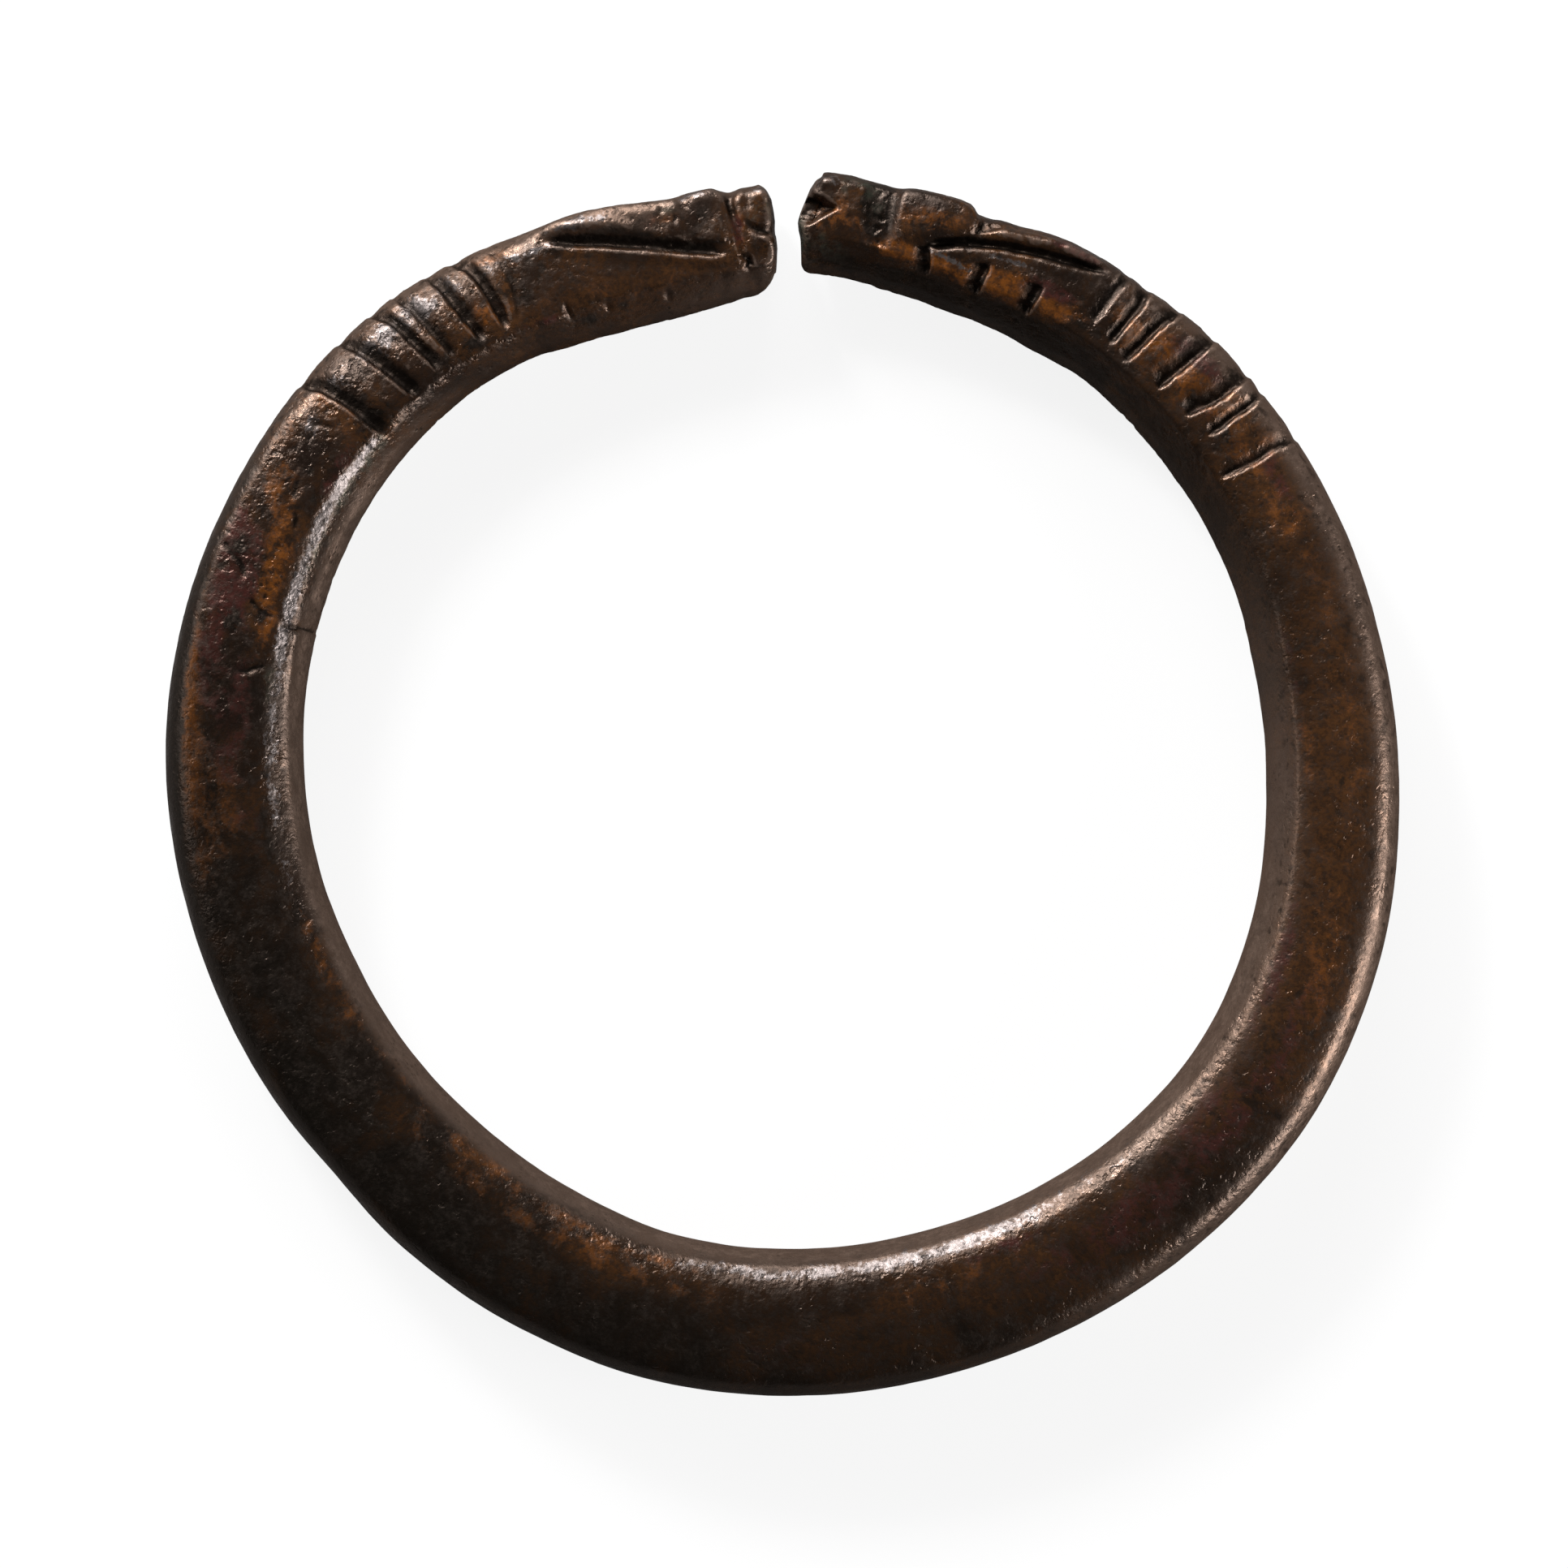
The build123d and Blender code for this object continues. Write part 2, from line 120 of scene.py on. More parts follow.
class Plate(NamedTuple):
    """A patch of the flank that stands out or lies back, with a soft edge."""

    points: Pairs
    rise: float
    edge: float


class Boss(NamedTuple):
    """A rounded lump or hollow: its place, its half length, its half width and its rise."""

    along: float
    across: float
    half_length: float
    half_width: float
    rise: float


class Stain(NamedTuple):
    """A patch of coloured tarnish, of painted shade, or of painted light: degrees round the hoop, share across,
    its reach both ways and strength.
    """

    degrees: float
    across: float
    reach: float
    breadth: float
    strength: float


def sections(*rows: Tuple[float, ...]) -> List[Section]:
    """Names the columns of a table of sections."""
    return [Section(*row) for row in rows]


HOOP_ROWS: List[Section] = sections(
    (0.000, 1.035, 0.861, 0.86, 0.22, 0.80, 0.10, 0.13, 0.18),
    (0.030, 1.028, 0.872, 0.93, 0.20, 0.80, 0.13, 0.13, 0.20),
    (0.064, 1.017, 0.901, 0.97, 0.15, 0.79, 0.15, 0.13, 0.20),
    (0.104, 1.004, 0.926, 1.00, 0.11, 0.75, 0.18, 0.17, 0.30),
    (0.144, 0.989, 0.945, 1.00, 0.09, 0.73, 0.19, 0.20, 0.34),
    (0.185, 0.975, 0.945, 1.00, 0.09, 0.73, 0.19, 0.20, 0.36),
    (0.235, 0.956, 0.958, 1.00, 0.09, 0.74, 0.18, 0.19, 0.36),
    (0.280, 0.948, 0.950, 1.00, 0.10, 0.78, 0.17, 0.18, 0.34),
    (0.305, 0.944, 0.938, 1.00, 0.12, 0.78, 0.15, 0.14, 0.30),
    (0.345, 0.940, 0.984, 1.00, 0.13, 0.78, 0.14, 0.15, 0.30),
    (0.400, 0.945, 1.002, 1.00, 0.12, 0.78, 0.15, 0.16, 0.30),
    (0.455, 0.958, 1.000, 1.00, 0.11, 0.78, 0.15, 0.15, 0.28),
    (0.506, 0.961, 1.002, 1.00, 0.10, 0.78, 0.15, 0.15, 0.28),
    (0.566, 0.967, 0.990, 1.00, 0.09, 0.78, 0.15, 0.15, 0.28),
    (0.626, 0.983, 0.961, 1.00, 0.09, 0.78, 0.14, 0.15, 0.28),
    (0.686, 1.002, 0.933, 1.00, 0.10, 0.79, 0.13, 0.15, 0.30),
    (0.746, 1.015, 0.917, 1.00, 0.13, 0.82, 0.09, 0.16, 0.30),
    (0.807, 1.010, 0.914, 1.00, 0.17, 0.84, 0.05, 0.17, 0.28),
    (0.867, 1.001, 0.906, 1.00, 0.19, 0.85, 0.04, 0.17, 0.26),
    (0.917, 1.004, 0.888, 0.97, 0.20, 0.85, 0.04, 0.16, 0.24),
    (0.960, 1.018, 0.853, 0.91, 0.22, 0.83, 0.05, 0.14, 0.20),
    (1.000, 1.028, 0.830, 0.86, 0.23, 0.82, 0.05, 0.12, 0.16),
)

LEFT_NECK_ROWS: List[Section] = sections(
    (0.000, 1.014, 0.834, 0.76, 0.20, 0.84, 0.04, 0.18, 0.14),
    (0.087, 1.023, 0.824, 0.77, 0.19, 0.84, 0.04, 0.24, 0.14),
    (0.240, 1.030, 0.830, 0.78, 0.18, 0.84, 0.05, 0.30, 0.14),
    (0.468, 1.037, 0.844, 0.80, 0.18, 0.82, 0.06, 0.31, 0.15),
    (0.772, 1.037, 0.858, 0.83, 0.19, 0.81, 0.08, 0.26, 0.16),
    HOOP_ROWS[0]._replace(along=1.0),
)

RIGHT_NECK_ROWS: List[Section] = sections(
    (0.000, 1.040, 0.774, 0.76, 0.27, 0.86, 0.03, 0.12, 0.12),
    (0.133, 1.045, 0.752, 0.77, 0.26, 0.86, 0.03, 0.12, 0.12),
    (0.300, 1.042, 0.782, 0.79, 0.25, 0.86, 0.03, 0.12, 0.12),
    (0.550, 1.036, 0.816, 0.81, 0.24, 0.84, 0.04, 0.12, 0.14),
    (0.800, 1.030, 0.826, 0.84, 0.24, 0.82, 0.04, 0.12, 0.15),
    HOOP_ROWS[-1]._replace(along=1.0),
)

LEFT_HEAD_ROWS: List[Section] = sections(
    (0.000, 1.038, 0.646, 0.64, 0.24, 0.84, 0.03, 0.15, 0.20),
    (0.020, 1.025, 0.708, 0.65, 0.24, 0.85, 0.03, 0.13, 0.16),
    (0.048, 1.018, 0.740, 0.66, 0.23, 0.86, 0.03, 0.12, 0.14),
    (0.085, 1.015, 0.742, 0.67, 0.23, 0.86, 0.03, 0.11, 0.12),
    (0.122, 1.012, 0.744, 0.68, 0.23, 0.86, 0.03, 0.11, 0.12),
    (0.159, 1.009, 0.732, 0.69, 0.22, 0.86, 0.03, 0.11, 0.12),
    (0.196, 1.004, 0.761, 0.70, 0.23),
    (0.233, 1.001, 0.798, 0.70, 0.24),
    (0.270, 0.998, 0.805, 0.70, 0.24),
    (0.307, 0.996, 0.806, 0.70, 0.25),
    (0.360, 0.993, 0.801, 0.71, 0.26),
    (0.419, 0.991, 0.808, 0.71, 0.26),
    (0.493, 0.990, 0.828, 0.72, 0.26),
    (0.567, 0.991, 0.846, 0.72, 0.26),
    (0.641, 0.993, 0.857, 0.73, 0.25),
    (0.715, 0.995, 0.866, 0.73, 0.25),
    (0.789, 0.999, 0.858, 0.74, 0.24),
    (0.863, 1.003, 0.846, 0.74, 0.23, 0.86, 0.03, 0.11, 0.13),
    (0.937, 1.008, 0.838, 0.75, 0.21, 0.85, 0.03, 0.14, 0.14),
    LEFT_NECK_ROWS[0]._replace(along=1.0),
)

RIGHT_HEAD_ROWS: List[Section] = sections(
    (0.000, 1.063, 0.640, 0.64, 0.30, 0.84, 0.03, 0.12, 0.16),
    (0.035, 1.060, 0.664, 0.65, 0.30, 0.85, 0.03, 0.11, 0.13),
    (0.060, 1.060, 0.690, 0.66, 0.31),
    (0.100, 1.058, 0.700, 0.66, 0.32),
    (0.150, 1.057, 0.698, 0.67, 0.33),
    (0.200, 1.054, 0.690, 0.67, 0.33),
    (0.265, 1.050, 0.688, 0.68, 0.33),
    (0.297, 1.046, 0.696, 0.68, 0.33),
    (0.329, 1.045, 0.714, 0.69, 0.32),
    (0.361, 1.043, 0.731, 0.69, 0.31),
    (0.426, 1.042, 0.738, 0.70, 0.31),
    (0.490, 1.039, 0.749, 0.70, 0.31),
    (0.515, 1.037, 0.748, 0.71, 0.31),
    (0.535, 1.037, 0.728, 0.71, 0.31),
    (0.555, 1.037, 0.694, 0.71, 0.31),
    (0.587, 1.037, 0.694, 0.71, 0.31),
    (0.632, 1.038, 0.708, 0.72, 0.31),
    (0.684, 1.039, 0.714, 0.72, 0.30),
    (0.748, 1.038, 0.745, 0.73, 0.30),
    (0.813, 1.038, 0.766, 0.74, 0.30),
    (0.877, 1.037, 0.780, 0.75, 0.29),
    (0.945, 1.038, 0.780, 0.75, 0.28, 0.86, 0.03, 0.11, 0.12),
    RIGHT_NECK_ROWS[0]._replace(along=1.0),
)


def smooth_curve(xs: Sequence[float], ys: Sequence[float], at: Array) -> Array:
    """Reads a smooth curve through rising places without overshooting them.

    Args:
        xs: the rising places.
        ys: the value at each place.
        at: where the curve is read.

    Returns:
        The curve's values.
    """
    x, y = np.asarray(xs, float), np.asarray(ys, float)
    steps = np.diff(x)
    slopes = np.diff(y) / steps
    tangents = np.empty_like(x)
    tangents[0], tangents[-1] = slopes[0], slopes[-1]
    before, after = slopes[:-1], slopes[1:]
    same_way = before * after > 0
    total = np.where(same_way, before + after, 1.0)
    tangents[1:-1] = np.where(same_way, 2 * before * after / total, 0.0)
    cell = np.clip(np.searchsorted(x, at, side="right") - 1, 0, len(steps) - 1)
    step = steps[cell]
    t = np.clip((at - x[cell]) / step, 0.0, 1.0)
    start, end = y[cell], y[cell + 1]
    return ((1 + 2 * t) * (1 - t) ** 2 * start + t * (1 - t) ** 2 * step * tangents[cell]
            + t * t * (3 - 2 * t) * end + t * t * (t - 1) * step * tangents[cell + 1])


def soft_step(low: float, high: float, value: Array) -> Array:
    """Rises smoothly from 0 at low to 1 at high."""
    t = np.clip((value - low) / (high - low), 0.0, 1.0)
    return t * t * (3 - 2 * t)


@dataclass
class Bangle:
    """The sizes that the whole casting follows, worked out from the frame's box.

    Attributes:
        box_width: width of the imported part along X, in metres.
        box_height: its height along Z, in metres.
        gap_middle: angle of the middle of the gap.
        wrist_share: radius of the hollow, as a share of the box's width.
        bar_share: the same for the bar's width, as are gap_share, head_shares and neck_shares for the gap and
            for the lengths of the left and right heads and necks.
        height_share: the bar's height, as a share of the box's height.
        middle_share: where across the bar the lengths along it are measured.
    """

    box_width: float
    box_height: float
    gap_middle: float = math.radians(89.45)
    wrist_share: float = 0.3916
    bar_share: float = 0.1189
    gap_share: float = 0.01927
    head_shares: Pair = (0.2077, 0.2390)
    neck_shares: Pair = (0.2027, 0.1852)
    height_share: float = 1.0135
    middle_share: float = 0.42
    wrist_radius: float = field(init=False)
    bar_width: float = field(init=False)
    bar_height: float = field(init=False)
    middle_height: float = field(init=False)
    middle_radius: float = field(init=False)
    gap_width: float = field(init=False)
    head_length: Dict[Side, float] = field(init=False)
    neck_length: Dict[Side, float] = field(init=False)

    def __post_init__(self) -> None:
        """Works the driving sizes out from the box."""
        self.wrist_radius = self.wrist_share * self.box_width
        self.bar_width = self.bar_share * self.box_width
        self.bar_height = self.height_share * self.box_height
        self.middle_height = self.box_height - self.bar_height / 2
        self.middle_radius = self.wrist_radius + self.middle_share * self.bar_width
        self.gap_width = self.gap_share * self.box_width
        self.head_length = {side: share * self.box_width for side, share in zip(Side, self.head_shares)}
        self.neck_length = {side: share * self.box_width for side, share in zip(Side, self.neck_shares)}

    def muzzle(self, side: Side) -> float:
        """Gives the angle of a muzzle's end."""
        return self.gap_middle + side.value * self.gap_width / 2 / self.middle_radius

    def head_turn(self, side: Side, along: Array) -> Array:
        """Turns shares of a head's length into angles."""
        return self.muzzle(side) + side.value * along * self.head_length[side] / self.middle_radius

    def neck_turn(self, side: Side, along: Array) -> Array:
        """Turns shares of a neck's length into angles."""
        start = self.head_turn(side, np.float64(1.0))
        return start + side.value * along * self.neck_length[side] / self.middle_radius

    def hoop_turn(self, along: Array) -> Array:
        """Turns shares of the hoop, from the left neck to the right one, into angles."""
        start = self.neck_turn(Side.LEFT, np.float64(1.0))
        stop = self.neck_turn(Side.RIGHT, np.float64(1.0)) + 2 * math.pi
        return start + along * (stop - start)


@dataclass
class Stations:
    """The cross sections of the whole bar, from the left muzzle round the hoop to the right muzzle.

    Attributes:
        bangle: the driving sizes.
        head_step: distance between sections on the heads, in metres.
        neck_step: the same on the necks.
        hoop_step: the same on the hoop, with entry_step next to the left neck and crack_step at the cracks.
        crack_span: the cracked stretch, as shares of the hoop.
    """

    bangle: Bangle
    head_step: float = 0.118 * MM
    neck_step: float = 0.130 * MM
    hoop_step: float = 0.560 * MM
    entry_step: float = 0.260 * MM
    crack_step: float = 0.200 * MM
    crack_span: Pair = (0.035, 0.110)
    columns: Dict[str, Array] = field(init=False)
    inner: Array = field(init=False)
    width: Array = field(init=False)
    turn: Array = field(init=False)
    to_muzzle: Array = field(init=False)

    def __post_init__(self) -> None:
        """Samples every table along the bar."""
        heads, necks = self.bangle.head_length, self.bangle.neck_length
        parts = [
            self._run(LEFT_HEAD_ROWS, self._spread(heads[Side.LEFT], self.head_step)),
            self._run(LEFT_NECK_ROWS, self._spread(necks[Side.LEFT], self.neck_step)),
            self._run(HOOP_ROWS, self._hoop_spread()),
            self._run(RIGHT_NECK_ROWS, self._spread(necks[Side.RIGHT], self.neck_step))[::-1],
            self._run(RIGHT_HEAD_ROWS, self._spread(heads[Side.RIGHT], self.head_step))[::-1],
        ]
        parts[1:] = [part[1:] for part in parts[1:]]
        table = np.concatenate(parts)
        self.columns = {name: table[:, number] for number, name in enumerate(Section._fields)}
        self.inner = self.columns["inner"] * self.bangle.wrist_radius
        self.width = self.columns["width"] * self.bangle.bar_width
        shares = [part[:, 0] for part in parts]
        self.turn = np.concatenate([
            self.bangle.head_turn(Side.LEFT, shares[0]),
            self.bangle.neck_turn(Side.LEFT, shares[1]),
            self.bangle.hoop_turn(shares[2]),
            self.bangle.neck_turn(Side.RIGHT, shares[3]) + 2 * math.pi,
            self.bangle.head_turn(Side.RIGHT, shares[4]) + 2 * math.pi,
        ])
        left = (self.turn - self.bangle.muzzle(Side.LEFT)) * self.bangle.middle_radius
        right = (self.bangle.muzzle(Side.RIGHT) + 2 * math.pi - self.turn) * self.bangle.middle_radius
        self.to_muzzle = np.minimum(left, right)

    @staticmethod
    def _spread(length: float, step: float) -> Array:
        """Spreads sections evenly over a length, as shares of it."""
        return np.linspace(0.0, 1.0, max(2, round(length / step) + 1))

    def _hoop_spread(self) -> Array:
        """Spreads sections over the hoop, closer together where it is cracked."""
        length = (self.bangle.hoop_turn(1.0) - self.bangle.hoop_turn(0.0)) * self.bangle.middle_radius
        start, stop = self.crack_span
        spans = [(0.0, start, self.entry_step), (start, stop, self.crack_step), (stop, 1.0, self.hoop_step)]
        runs = [np.linspace(low, high, round((high - low) * length / step), endpoint=False)
                for low, high, step in spans]
        return np.concatenate(runs + [np.array([1.0])])

    @staticmethod
    def _run(rows: Sequence[Section], along: Array) -> Array:
        """Reads one table at the given shares and returns all its columns."""
        places = [row.along for row in rows]
        return np.stack([along] + [smooth_curve(places, [row[k] for row in rows], along)
                                   for k in range(1, len(Section._fields))], axis=1)

    def edge_radii(self, turn: Array) -> Tuple[Array, Array]:
        """Gives the inner radius and the width of the bar at any angle.

        Args:
            turn: angles between the two muzzles, going round by the hoop.

        Returns:
            The inner radius and the bar's width, in metres.
        """
        return np.interp(turn, self.turn, self.inner), np.interp(turn, self.turn, self.width)

    def flat_places(self, turn: Array, across: Array) -> Array:
        """Turns angles and shares across the bar into places as X and Y, in metres."""
        inner, width = self.edge_radii(turn)
        radius = inner + across * width
        return np.stack([radius * np.cos(turn), radius * np.sin(turn)], axis=1)


@dataclass
class Contour:
    """Turns a section row into the rounded outline of half a cross section.

    Attributes:
        bangle: the driving sizes.
        samples: how finely an outline is followed before its corners are placed.
        upper: corners on the upper half of the mesh, with lower as those on the lower half.
        inner_crest: height of the flank's inner border, as a share of the half height.
        outer_crest: the same at its outer border.
        peak: where across the flank it is highest, with crown_corners as how many corners it has.
        wall_bend: a corner of the wall, as shares of the wall and of its height.
        shoulder_bends: corners of the shoulder, as the share of it outside them and of the half height.
        rounding: length that a row's softness is a share of, in metres.
        bend_cost: how strongly bends draw the mesh's corners together, in metres for each radian.
        side_cost: how many corners an upright face gets, as a share of what a level one gets.
    """

    bangle: Bangle
    samples: int = 420
    upper: int = 74
    lower: int = 38
    inner_crest: float = 0.955
    outer_crest: float = 0.885
    peak: float = 0.30
    wall_bend: Pair = (0.30, 0.42)
    shoulder_bends: Pairs = ((0.55, 0.79), (0.22, 0.60), (0.05, 0.33))
    crown_corners: int = 13
    rounding: float = MM
    bend_cost: float = 0.45 * MM
    side_cost: float = 0.35

    def half(self, row: Row) -> Array:
        """Follows half an outline from the inner apex to the outer one.

        Args:
            row: one section's columns.

        Returns:
            Points as radius and height above the bar's middle, evenly spaced.
        """
        inner = row["inner"] * self.bangle.wrist_radius
        width = row["width"] * self.bangle.bar_width
        half_height = row["height"] * self.bangle.bar_height / 2
        wall, edge, shoulder = row["wall"], row["edge"], row["shoulder"]
        start, stop = wall + row["ledge"], 1 - shoulder
        share = np.linspace(0.0, 1.0, self.crown_corners)
        drop = np.where(share < self.peak, 1 - self.inner_crest, 1 - self.outer_crest)
        away = np.where(share < self.peak, 1 - share / self.peak, (share - self.peak) / (1 - self.peak))
        crown = 1 - drop * away ** 2
        corners = [(0.0, 0.0), (self.wall_bend[0] * wall, self.wall_bend[1] * edge), (wall, edge)]
        corners += list(zip(start + share * (stop - start), crown))
        corners += [(1 - outside * shoulder, rise) for outside, rise in self.shoulder_bends] + [(1.0, 0.0)]
        shape = np.array(corners) * (width, half_height) + (inner, 0.0)
        reach = np.concatenate([[0.0], np.cumsum(np.hypot(*np.diff(shape, axis=0).T))])
        even = np.linspace(0.0, reach[-1], self.samples)
        line = np.stack([np.interp(even, reach, shape[:, 0]), np.interp(even, reach, shape[:, 1])], axis=1)
        return self._rounded(line, row["soft"] * self.rounding, reach[-1] / (self.samples - 1))

    def _rounded(self, line: Array, reach: float, spacing: float) -> Array:
        """Rounds every corner of half an outline over a reach, mirrored at both apexes."""
        half = max(1, int(3 * reach / spacing))
        kernel = np.exp(-0.5 * (np.arange(-half, half + 1) * spacing / reach) ** 2)
        kernel /= kernel.sum()
        flip = np.array([1.0, -1.0])
        padded = np.concatenate([line[half:0:-1] * flip, line, line[-2:-half - 2:-1] * flip])
        smooth = np.stack([np.convolve(padded[:, k], kernel, mode="valid") for k in (0, 1)], axis=1)
        smooth[0, 1] = smooth[-1, 1] = 0.0
        stretch = (line[-1, 0] - line[0, 0]) / (smooth[-1, 0] - smooth[0, 0])
        smooth[:, 0] = line[0, 0] + (smooth[:, 0] - smooth[0, 0]) * stretch
        return smooth

    def corners(self, line: Array, count: int) -> Array:
        """Places the mesh's corners on half an outline, closer together where it bends.

        Args:
            line: the rounded outline.
            count: how many steps the half is cut into.

        Returns:
            count + 1 points from apex to apex.
        """
        steps = np.diff(line, axis=0)
        length = np.hypot(steps[:, 0], steps[:, 1])
        heading = np.unwrap(np.arctan2(steps[:, 1], steps[:, 0]))
        bend = np.abs(np.gradient(heading)) * self.bend_cost
        level = np.abs(steps[:, 0]) / length
        weight = self.side_cost + (1 - self.side_cost) * level
        cost = np.concatenate([[0.0], np.cumsum(length * weight + bend)])
        even = np.linspace(0.0, cost[-1], count + 1)
        return np.stack([np.interp(even, cost, line[:, 0]), np.interp(even, cost, line[:, 1])], axis=1)

    def ring(self, row: Row) -> Array:
        """Makes the whole ring of one section: over the top and back underneath."""
        line = self.half(row)
        over = self.corners(line, self.upper)
        under = self.corners(line, self.lower) * (1.0, -1.0)
        return np.concatenate([over, under[-2:0:-1]])


@dataclass
class MuzzleEnd:
    """The rounded front of a head.

    Attributes:
        side: which head it closes.
        outline: the front's outline seen from above, as the share across the head and how far it reaches
            forward of the muzzle's plane, in millimetres.
        rounding: how far back the front's edges are rounded, in metres.
        reach: how far back the outline's shape is felt, in metres.
        closing: how far the flat front is drawn in ring by ring, as shares of its size.
    """

    side: Side
    outline: Pairs
    rounding: float = 0.75 * MM
    reach: float = 1.6 * MM
    closing: Tuple[float, ...] = (0.82, 0.6, 0.36, 0.14)

    def forward(self, across: Array, behind: Array) -> Array:
        """Gives how far a point is pushed forward, from its share across and its distance to the plane."""
        places = [row[0] for row in self.outline]
        pushes = [row[1] * MM for row in self.outline]
        return smooth_curve(places, pushes, np.clip(across, 0, 1)) * (1 - soft_step(0.0, self.reach, behind))

    def inset(self, behind: Array) -> Array:
        """Gives how far the section draws in towards the front's rounded edge."""
        back = np.clip(1 - behind / self.rounding, 0.0, 1.0)
        return self.rounding * (1 - np.sqrt(np.clip(1 - back * back, 0.0, 1.0)))


LEFT_MUZZLE = MuzzleEnd(Side.LEFT, [
    (0.00, -0.85), (0.02, -0.42), (0.05, -0.20), (0.10, -0.08), (0.18, -0.03), (0.38, -0.03), (0.50, -0.12),
    (0.58, -0.20), (0.64, -0.15), (0.72, -0.19), (0.90, -0.33), (1.00, -0.55),
])
RIGHT_MUZZLE = MuzzleEnd(Side.RIGHT, [
    (0.00, -0.26), (0.05, -0.14), (0.20, -0.16), (0.34, -0.15), (0.43, 0.00), (0.51, 0.06), (0.60, -0.03),
    (0.70, -0.24), (0.85, -0.54), (1.00, -0.90),
])


@dataclass
class Carving:
    """The relief of one side: a head and the neck behind it.

    Attributes:
        side: which side it is on.
        head_strokes: lines on the head, by layer.
        neck_strokes: lines on the neck, by layer.
        plates: raised and sunk patches of the head.
        bosses: rounded lumps and hollows of the head.
        mouths: open mouths, over whose floors nothing stands.
    """

    side: Side
    head_strokes: Dict[Mark, List[Stroke]]
    neck_strokes: Dict[Mark, List[Stroke]]
    plates: List[Plate]
    bosses: List[Boss]
    mouths: List[Plate] = field(default_factory=list)

    def place(self, stations: Stations, points: Pairs, on_neck: bool) -> Array:
        """Turns (along, across) pairs into flat places.

        Args:
            stations: the bar that carries them.
            points: the pairs.
            on_neck: whether along is a share of the neck, and not of the head.

        Returns:
            Places as X and Y, in metres.
        """
        along, across = np.array(points, float).T
        bangle = stations.bangle
        turn = bangle.neck_turn(self.side, along) if on_neck else bangle.head_turn(self.side, along)
        return stations.flat_places(turn if self.side is Side.LEFT else turn + 2 * math.pi, across)

    def strokes(self, stations: Stations, mark: Mark) -> List[Tuple[Array, Stroke, Side]]:
        """Lists one layer's lines as flat places, with the stroke that each belongs to and its side."""
        return [(self.place(stations, stroke.points, on_neck), stroke, self.side)
                for on_neck, table in ((False, self.head_strokes), (True, self.neck_strokes))
                for stroke in table.get(mark, [])]

    def rise(self, stations: Stations, flat: Array) -> Array:
        """Adds up the plates and bosses at many places.

        Args:
            stations: the bar that carries them.
            flat: places as X and Y, in metres.

        Returns:
            The rise at each place, in metres.
        """
        total = np.zeros(len(flat))
        for plate in self.plates:
            corners = self.place(stations, plate.points, False)
            edge = plate.edge * MM
            total += plate.rise * MM * soft_step(-edge, edge, inside_distance(flat, corners))
        for boss in self.bosses:
            centre = self.place(stations, [(boss.along, boss.across)], False)[0]
            turn = math.atan2(centre[1], centre[0])
            offset = flat - centre
            out = (offset @ (math.cos(turn), math.sin(turn))) / (boss.half_width * MM)
            round_ = (offset @ (-math.sin(turn), math.cos(turn))) / (boss.half_length * MM)
            total += boss.rise * MM * np.exp(-(out ** 2 + round_ ** 2))
        return total

    def ceiling(self, stations: Stations, flat: Array) -> Array:
        """Gives the height above the floor that nothing stands over, which open mouths bring down.

        Args:
            stations: the bar that carries them.
            flat: places as X and Y, in metres.

        Returns:
            The height at each place, in metres.
        """
        bangle = stations.bangle
        end = 0 if self.side is Side.LEFT else -1
        flank = bangle.middle_height + stations.columns["height"][end] * bangle.bar_height / 2
        height = np.full(len(flat), bangle.box_height)
        for mouth in self.mouths:
            edge = mouth.edge * MM
            share = soft_step(-edge, edge, inside_distance(flat, self.place(stations, mouth.points, False)))
            height += share * (flank + mouth.rise * MM - bangle.box_height)
        return height


def inside_distance(places: Array, corners: Array) -> Array:
    """Gives each place's distance from a polygon's outline, positive inside it."""
    nearest = np.full(len(places), np.inf)
    inside = np.zeros(len(places), bool)
    for start, end in zip(corners, np.roll(corners, -1, axis=0)):
        edge = end - start
        offset = places - start
        share = np.clip(offset @ edge / (edge @ edge), 0.0, 1.0)
        nearest = np.minimum(nearest, np.hypot(*(offset - share[:, None] * edge).T))
        crosses = (start[1] > places[:, 1]) != (end[1] > places[:, 1])
        rise = edge[1] if abs(edge[1]) > TINY else TINY
        inside ^= crosses & (places[:, 0] < start[0] + edge[0] * (places[:, 1] - start[1]) / rise)
    return np.where(inside, nearest, -nearest)


